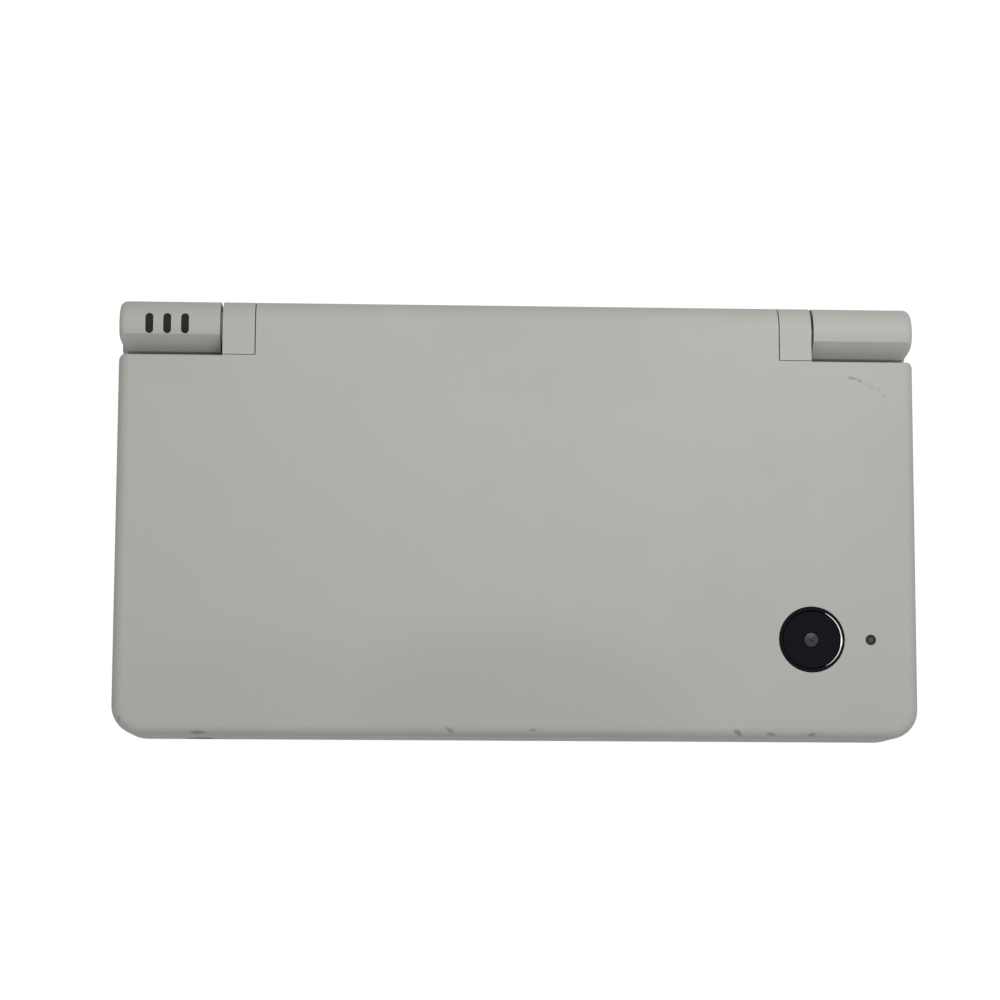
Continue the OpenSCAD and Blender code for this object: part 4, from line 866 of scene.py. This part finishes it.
class PatternTool:
    """A Geometry Nodes tree that is built once, and baked into plain meshes."""

    def __init__(self, name: str, inputs: dict[str, str]) -> None:
        """Makes the empty tree.

        Args:
            name: Name of the tree.
            inputs: Kind of each input besides the geometry and the finish.
        """
        self.tree = bpy.data.node_groups.new(name, "GeometryNodeTree")
        sockets = self.tree.interface
        sockets.new_socket("Geometry", in_out="INPUT", socket_type="NodeSocketGeometry")
        self.keys = {}
        for key, kind in {**inputs, "Finish": "Material"}.items():
            socket = sockets.new_socket(key, in_out="INPUT", socket_type=f"NodeSocket{kind}")
            self.keys[key] = socket.identifier
        sockets.new_socket("Geometry", in_out="OUTPUT", socket_type="NodeSocketGeometry")
        self.graph = Graph(self.tree)
        self.source = self.tree.nodes.new("NodeGroupInput").outputs
        self.sink = self.tree.nodes.new("NodeGroupOutput").inputs

    def shape(self, kind: str, inputs: dict | None = None, **settings: object) -> Socket:
        """Adds a geometry node.

        Args:
            kind: Class name of the node, without its first part.
            inputs: Values or sockets for its inputs, by name or index.
            settings: Values of the node's own properties.

        Returns:
            Its first output.
        """
        return self.graph.add(f"GeometryNode{kind}", inputs, **settings).outputs[0]

    def cone(self, sides: int, top_r: object, foot_r: object, height: object) -> Socket:
        """Adds a cone or a cylinder.

        Args:
            sides: Faces round it.
            top_r: Radius of its top, as a value or a socket.
            foot_r: Radius of its foot.
            height: Its height.

        Returns:
            Socket with the mesh.
        """
        return self.shape("MeshCone", {"Vertices": sides, "Radius Top": top_r, "Radius Bottom": foot_r,
                                       "Depth": height})

    def sweep(self, path: Socket, section: Socket) -> Socket:
        """Draws a section along a path, and closes its ends."""
        return self.shape("CurveToMesh", {"Curve": path, "Profile Curve": section, "Fill Caps": True})

    def scatter(self, shape: Socket) -> Socket:
        """Sets a shape on every point of the modifier's own mesh."""
        return self.shape("InstanceOnPoints", {"Points": self.source["Geometry"], "Instance": shape})

    def merge(self, *shapes: Socket) -> Socket:
        """Joins geometries.

        Args:
            shapes: Sockets with the geometries.

        Returns:
            Socket with all of them.
        """
        node = self.graph.add("GeometryNodeJoinGeometry")
        for shape in shapes:
            self.tree.links.new(shape, node.inputs[0])
        return node.outputs[0]

    def shift(self, shape: Socket, offset: object = ORIGIN, turn: object = ORIGIN) -> Socket:
        """Moves and turns a geometry.

        Args:
            shape: Socket with the geometry.
            offset: Vector or socket.
            turn: Euler angles.

        Returns:
            Socket with the moved geometry.
        """
        return self.shape("Transform", {"Geometry": shape, "Translation": offset, "Rotation": turn})

    def unite(self, *bodies: Socket) -> Socket:
        """Fuses bodies into one.

        Args:
            bodies: Sockets with the bodies.

        Returns:
            Socket with the one body.
        """
        node = self.graph.add("GeometryNodeMeshBoolean", operation="UNION")
        for body in bodies:
            self.tree.links.new(body, node.inputs["Mesh 2"])
        return node.outputs[0]

    def cut(self, body: Socket, *tools: Socket) -> Socket:
        """Cuts tools out of a body.

        Args:
            body: Socket with the body.
            tools: Sockets with the cutters.

        Returns:
            Socket with what is left.
        """
        node = self.graph.add("GeometryNodeMeshBoolean", {"Mesh 1": body}, operation="DIFFERENCE")
        for tool in tools:
            self.tree.links.new(tool, node.inputs["Mesh 2"])
        return node.outputs[0]

    def close(self, shape: Socket) -> None:
        """Ends the tree: instances made real, and the finish set.

        Args:
            shape: Socket with the last geometry.
        """
        real = self.shape("RealizeInstances", {"Geometry": shape})
        finished = self.shape("SetMaterial", {"Geometry": real, "Material": self.source["Finish"]})
        self.graph.join(finished, self.sink["Geometry"])

    def bake(self, name: str, points: list[Place], **values: object) -> bpy.types.Mesh:
        """Runs the tree on points and keeps the result as a plain mesh.

        Args:
            name: Name of the mesh.
            points: Where the shapes go.
            values: Value of each input, its name in small letters with low lines.

        Returns:
            The mesh.
        """
        seeds = bpy.data.meshes.new(f"{name}_points")
        seeds.from_pydata(points, [], [])
        holder = bpy.data.objects.new(f"{name}_holder", seeds)
        bpy.context.scene.collection.objects.link(holder)
        modifier = holder.modifiers.new("pattern", "NODES")
        modifier.node_group = self.tree
        for key, value in values.items():
            modifier[self.keys[key.replace("_", " ").title()]] = value
        graph = bpy.context.evaluated_depsgraph_get()
        mesh = bpy.data.meshes.new_from_object(holder.evaluated_get(graph))
        bpy.data.objects.remove(holder)
        mesh.name = name
        return smooth(mesh)


def solids_of(node: str) -> list[tuple[Vector, Vector]]:
    """Boxes of the separate solids of a CAD node, read from a merged copy of its mesh.

    Args:
        node: The node.

    Returns:
        Lowest and highest corner of each solid, from left to right.
    """
    sheet = bmesh.new()
    sheet.from_mesh(frame["nodes"][node].data)
    bmesh.ops.remove_doubles(sheet, verts=sheet.verts, dist=WELD)
    boxes, seen = [], set()
    for start in sheet.verts:
        if start in seen:
            continue
        group, queue = [], [start]
        seen.add(start)
        while queue:
            vert = queue.pop()
            group.append(vert.co.copy())
            for edge in vert.link_edges:
                other = edge.other_vert(vert)
                if other not in seen:
                    seen.add(other)
                    queue.append(other)
        boxes.append(tuple(Vector([pick(co[i] for co in group) for i in range(3)]) for pick in (min, max)))
    sheet.free()
    return sorted(boxes, key=lambda box: tuple(box[0]))


@dataclass
class Assembly:
    """Pieces that are made together, in the shared finishes."""

    finishes: Finishes


@dataclass
class Screws(Assembly):
    """Cross-recessed screws with a rolled thread, in place of the plain CAD ones."""

    pitch: float = 0.5 * MM
    thread_rise: float = 0.12 * MM
    edge: float = 0.12 * MM
    head_share: float = 0.55
    shank_share: float = 0.52
    recess_share: float = 1.15
    recess_slim: float = 0.3
    thread_share: float = 0.86
    thread_from: float = 0.07
    head_sides: int = 40
    shank_sides: int = 20
    helix_steps: int = 14

    def tool(self) -> PatternTool:
        """Builds the tree of one screw, its head down, set on every point.

        Returns:
            The tree.
        """
        tool = PatternTool("cross_recess_screw", {
            "Head Radius": "Float", "Head Height": "Float", "Shank Radius": "Float", "Shank Length": "Float",
            "Recess": "Float", "Pitch": "Float", "Rise": "Float", "Edge": "Float"})
        graph, source = tool.graph, tool.source
        head_r, head_h, edge = source["Head Radius"], source["Head Height"], source["Edge"]
        slope = tool.cone(self.head_sides, head_r, graph.minus(head_r, edge), edge)
        rim = tool.cone(self.head_sides, head_r, head_r, graph.minus(head_h, edge))
        blank = tool.unite(slope, tool.shift(rim, graph.combine(z=edge)))
        slim = graph.times(source["Recess"], self.recess_slim)
        bar = tool.shape("MeshCube", {"Size": graph.combine(source["Recess"], slim, head_h)})
        head = tool.cut(blank, bar, tool.shift(bar, turn=(0.0, 0.0, math.pi / 2)))
        shank_r, shank_l = source["Shank Radius"], source["Shank Length"]
        core_r = graph.minus(shank_r, source["Rise"])
        core = tool.cone(self.shank_sides, core_r, core_r, shank_l)
        thread_l = graph.times(shank_l, self.thread_share)
        helix = tool.shape("CurveSpiral", {
            "Resolution": self.helix_steps, "Start Radius": core_r, "End Radius": core_r,
            "Height": thread_l, "Rotations": graph.math("DIVIDE", thread_l, source["Pitch"])})
        ridge = tool.shape("CurvePrimitiveCircle", {"Resolution": 4, "Radius": source["Rise"]})
        start = graph.plus(head_h, graph.times(shank_l, self.thread_from))
        screw = tool.merge(head, tool.shift(core, graph.combine(z=head_h)),
                           tool.shift(tool.sweep(helix, ridge), graph.combine(z=start)))
        tool.close(tool.scatter(screw))
        return tool

    def build(self) -> None:
        """Makes the screws of the case, the lid and the battery cover."""
        tool = self.tool()
        steel = self.finishes.of_slot(Slot.STEEL)
        for node, body in (("case_screws", Body.BASE), ("lid_screws", Body.LID),
                           ("battery_cover_screws", Body.BASE)):
            boxes = solids_of(node)
            low, high = boxes[0]
            head_r = (high.x - low.x) / 2
            head_h = self.head_share * head_r
            points = [((a.x + b.x) / 2, (a.y + b.y) / 2, a.z) for a, b in boxes]
            mesh = tool.bake(node, points, head_radius=head_r, head_height=head_h,
                             shank_radius=head_r * self.shank_share, shank_length=high.z - low.z - head_h,
                             recess=head_r * self.recess_share, pitch=self.pitch, rise=self.thread_rise,
                             edge=self.edge, finish=steel)
            add_piece(f"{node}_threaded", mesh, body, node)


@dataclass(frozen=True)
class ContactRow:
    """A row of spring contacts in a socket, lengths in mm."""

    socket: str
    count: int
    pitch: float
    width: float
    reach: float
    rise: float
    turn_deg: float
    share: Place        # its place, as a share of the socket's box


@dataclass
class Contacts(Assembly):
    """Rows of spring contacts inside the card slots and the power socket."""

    rows: tuple[ContactRow, ...] = (
        ContactRow("game_card_socket", 17, 1.5, 0.9, 4.0, 0.5, 0.0, (0.5, 0.16, 0.2)),
        ContactRow("memory_card_socket", 9, 2.5, 1.1, 4.5, 0.35, -90.0, (0.2, 0.5, 0.2)),
        ContactRow("power_socket", 5, 1.1, 0.6, 3.0, 0.25, 0.0, (0.5, 0.35, 0.5)),
    )
    # corners of a strip's curve: their name, and their share of its reach and rise
    bends: tuple[tuple[str, float, float], ...] = (
        ("Start", 0.0, 0.0), ("Start Handle", 0.45, 0.0), ("End Handle", 0.6, 1.6), ("End", 1.0, 0.3))
    thickness: float = 0.15 * MM
    gold: Finish = Finish("contact_gold", (0.83, 0.62, 0.28), 0.25, metallic=1.0, soil=0.02)

    def tool(self) -> PatternTool:
        """Builds the tree of a row of bent strips, set on every point.

        Returns:
            The tree.
        """
        tool = PatternTool("contact_row", {
            "Count": "Int", "Pitch": "Float", "Width": "Float", "Thickness": "Float", "Reach": "Float",
            "Rise": "Float", "Turn": "Vector"})
        graph, source = tool.graph, tool.source
        reach, rise = source["Reach"], source["Rise"]
        corners = {key: graph.combine(y=graph.times(reach, along), z=graph.times(rise, up))
                   for key, along, up in self.bends}
        strip = tool.shape("CurvePrimitiveBezierSegment", {"Resolution": 8, **corners}, mode="POSITION")
        section = tool.shape("CurvePrimitiveQuadrilateral", {"Width": source["Width"],
                                                             "Height": source["Thickness"]})
        length = graph.times(graph.minus(source["Count"], 1.0), source["Pitch"])
        row = tool.shape("MeshLine", {
            "Count": source["Count"], "Start Location": graph.combine(x=graph.times(length, -0.5)),
            "Offset": graph.combine(x=source["Pitch"])}, mode="OFFSET")
        blades = tool.shape("InstanceOnPoints", {"Points": row, "Instance": tool.sweep(strip, section)})
        tool.close(tool.scatter(tool.shift(blades, turn=source["Turn"])))
        return tool

    def build(self) -> None:
        """Makes the contact rows."""
        tool = self.tool()
        for row in self.rows:
            low, high = (Vector(corner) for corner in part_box(row.socket))
            place = tuple(low[i] + (high[i] - low[i]) * row.share[i] for i in range(3))
            name = f"{row.socket}_contacts"
            mesh = tool.bake(name, [place], count=row.count, pitch=row.pitch * MM, width=row.width * MM,
                             thickness=self.thickness, reach=row.reach * MM, rise=row.rise * MM,
                             turn=(0.0, 0.0, math.radians(row.turn_deg)),
                             finish=self.finishes.piece(self.gold))
            add_piece(name, mesh, Body.BASE)


@dataclass
class Grilles(Assembly):
    """Perforated plates in the speaker slots of the lid."""

    length: float = 10.6 * MM
    width: float = 1.5 * MM
    thickness: float = 0.25 * MM
    columns: int = 14
    rows: int = 2
    pitch: float = 0.7 * MM
    hole_r: float = 0.2 * MM
    hole_sides: int = 12
    hole_depth: float = 6.0     # depth of the cutter, in thicknesses of the plate
    end_steps: int = 6
    end_share: float = 0.499
    above_window: float = 0.55 * MM

    def tool(self) -> PatternTool:
        """Builds the tree of a pill-shaped plate with a grid of holes, set on every point.

        Returns:
            The tree.
        """
        tool = PatternTool("perforated_plate", {
            "Length": "Float", "Width": "Float", "Thickness": "Float", "Columns": "Int", "Rows": "Int",
            "Pitch": "Float", "Hole Radius": "Float"})
        graph, source = tool.graph, tool.source
        outline = tool.shape("CurvePrimitiveQuadrilateral", {"Width": source["Length"],
                                                             "Height": source["Width"]})
        pill = tool.shape("FilletCurve", {
            "Curve": outline, "Count": self.end_steps,
            "Radius": graph.times(source["Width"], self.end_share)}, mode="POLY")
        face = tool.shape("FillCurve", {"Curve": pill})
        wall = tool.shape("ExtrudeMesh", {"Mesh": face, "Offset Scale": source["Thickness"],
                                          "Individual": False}, mode="FACES")
        back = tool.shape("FlipFaces", {"Mesh": face})
        plate = tool.shape("MergeByDistance", {"Geometry": tool.merge(wall, back), "Distance": WELD})
        span_x, span_y = (graph.times(graph.minus(source[key], 1.0), source["Pitch"])
                          for key in ("Columns", "Rows"))
        grid = tool.shape("MeshGrid", {"Size X": span_x, "Size Y": span_y, "Vertices X": source["Columns"],
                                       "Vertices Y": source["Rows"]})
        hole = tool.shape("MeshCylinder", {
            "Vertices": self.hole_sides, "Radius": source["Hole Radius"],
            "Depth": graph.times(source["Thickness"], self.hole_depth)})
        holes = tool.shape("InstanceOnPoints", {"Points": grid, "Instance": hole})
        real = tool.shape("RealizeInstances", {"Geometry": holes})
        tool.close(tool.scatter(tool.cut(plate, real)))
        return tool

    def build(self) -> None:
        """Makes both plates."""
        window_low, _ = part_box("upper_window")
        points = []
        for node in ("left_speaker", "right_speaker"):
            middle = box_middle(node)
            points.append((middle.x, middle.y, window_low[2] + self.above_window))
        mesh = self.tool().bake("speaker_grilles", points, length=self.length, width=self.width,
                                thickness=self.thickness, columns=self.columns, rows=self.rows,
                                pitch=self.pitch, hole_radius=self.hole_r,
                                finish=self.finishes.of_slot(Slot.SOCKET))
        add_piece("speaker_grilles", mesh, Body.LID)


@dataclass
class OuterCamera(Assembly):
    """Window of the outer camera: a black print with a clear middle over a small lens."""

    clear_r: float = 1.34 * MM
    lens_r: float = 1.27 * MM
    pupil_r: float = 0.42 * MM
    chamfer: float = 0.12 * MM
    lens_below: float = 0.12 * MM
    lens_rise: float = 0.22 * MM
    dome_steps: int = 8
    pupil_rise: float = 0.92
    pupil_flat: float = 0.7
    pupil_crown: tuple[float, float] = (0.04 * MM, 0.05 * MM)
    ring_bore_r: float = 5.02 * MM
    ring_slope: float = 0.16 * MM
    ring_least: float = 0.1
    # where the painted highlight ends, as the cosine of the angle from +X
    highlight_ends: float = 0.46
    slope_normal_z: tuple[float, float] = (0.3, 0.95)
    ring_edge: float = 0.06 * MM
    ring_steps: int = 128
    highlight_plating: Finish = Finish("ring_painted_highlight", (0.86, 0.87, 0.88), 0.16, metallic=1.0, soil=0.03)
    lens: Finish = Finish("lens_smoke", (0.036, 0.036, 0.043), 0.3, soil=0.0, specular=0.25)
    pupil: Finish = Finish("lens_pupil", (0.014, 0.014, 0.016), 0.25, soil=0.0, specular=0.25)

    def ring(self) -> None:
        """Makes the black ring, with a crescent of bright metal sloping into it on its right, a painted
        highlight: only the right part of the slope gets the metal.
        """
        low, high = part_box("camera_ring")
        outer, top = (high[0] - low[0]) / 2, high[2] - low[2]
        middle = box_middle("camera_ring")
        foot = (middle.x, middle.y, low[2])
        profile = [(self.ring_bore_r, 0.0), (outer, 0.0), (outer, top - self.ring_edge),
                   (outer - self.ring_edge, top), (self.ring_bore_r + self.ring_slope, top),
                   (self.ring_bore_r, top - self.ring_slope)]
        mesh = lathe("camera_ring_turned", profile, foot, steps=self.ring_steps)
        for vert in mesh.vertices:
            arm = (vert.co - middle).xy
            slope = self.ring_slope * max(arm.normalized().x, self.ring_least)
            if arm.length < self.ring_bore_r + self.ring_slope / 2 and vert.co.z > middle.z:
                vert.co.z = high[2] - slope
            elif arm.length < outer - 2 * self.ring_edge and vert.co.z > middle.z:
                vert.co.xy = middle.xy + arm.normalized() * (self.ring_bore_r + slope)
        mesh.materials.append(self.finishes.of_slot(Slot.WINDOW))
        # the bright metal is a painted highlight, put only on the right part of the slope
        mesh.materials.append(self.finishes.piece(self.highlight_plating))
        for polygon in mesh.polygons:
            arm = (polygon.center - middle).xy
            inwards = arm.dot(polygon.normal.xy) < 0
            tilted = self.slope_normal_z[0] < polygon.normal.z < self.slope_normal_z[1]
            polygon.material_index = int(inwards and tilted and arm.normalized().x > self.highlight_ends)
        add_piece("camera_ring_turned", mesh, Body.LID, "camera_ring")

    def window(self) -> None:
        """Makes the printed window as a turned ring with polished edges."""
        low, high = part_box("camera_window")
        top = high[2] - low[2]
        outer = (high[0] - low[0]) / 2
        middle = box_middle("camera_window")
        c = self.chamfer
        profile = [(self.clear_r, 0.0), (outer, 0.0), (outer, top - c), (outer - c, top),
                   (self.clear_r + c, top), (self.clear_r, top - c)]
        mesh = lathe("camera_window_printed", profile, (middle.x, middle.y, low[2]))
        mesh.materials.append(self.finishes.of_slot(Slot.WINDOW))
        add_piece("camera_window_printed", mesh, Body.LID, "camera_window")

    def glass(self) -> None:
        """Makes the domed lens and the pupil that shows in it."""
        low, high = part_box("camera_window")
        middle = box_middle("camera_window")
        base = high[2] - self.lens_below - self.lens_rise
        turns = [math.pi / 2 * step / self.dome_steps for step in range(self.dome_steps)]
        arc = [(self.lens_r * math.cos(turn), self.lens_rise * math.sin(turn)) for turn in turns]
        profile = [(0.0, low[2] - base), (self.lens_r, low[2] - base), *arc, (0.0, self.lens_rise)]
        mesh = lathe("outer_lens", profile, (middle.x, middle.y, base), steps=64)
        mesh.materials.append(self.finishes.piece(self.lens))
        add_piece("outer_lens", mesh, Body.LID)
        rise = self.lens_rise * self.pupil_rise
        button = [(0.0, 0.0), (self.pupil_r, 0.0), (self.pupil_r, rise),
                  (self.pupil_r * self.pupil_flat, rise + self.pupil_crown[0]),
                  (0.0, rise + self.pupil_crown[1])]
        mesh = lathe("outer_lens_pupil", button, (middle.x, middle.y, base), steps=32)
        mesh.materials.append(self.finishes.piece(self.pupil))
        add_piece("outer_lens_pupil", mesh, Body.LID)

    def build(self) -> None:
        """Makes the ring, the window and the lens."""
        self.ring()
        self.window()
        self.glass()


def main() -> None:
    """Builds the studio, the finishes and the console's pieces."""
    logging.basicConfig(level=logging.INFO, format="%(name)s: %(message)s")
    Studio().build()
    finishes = Finishes(SurfaceGroups())
    finishes.dress_nodes()
    for assembly in (OuterCamera, Grilles, Contacts, Screws):
        assembly(finishes).build()


if __name__ == "__main__":
    main()
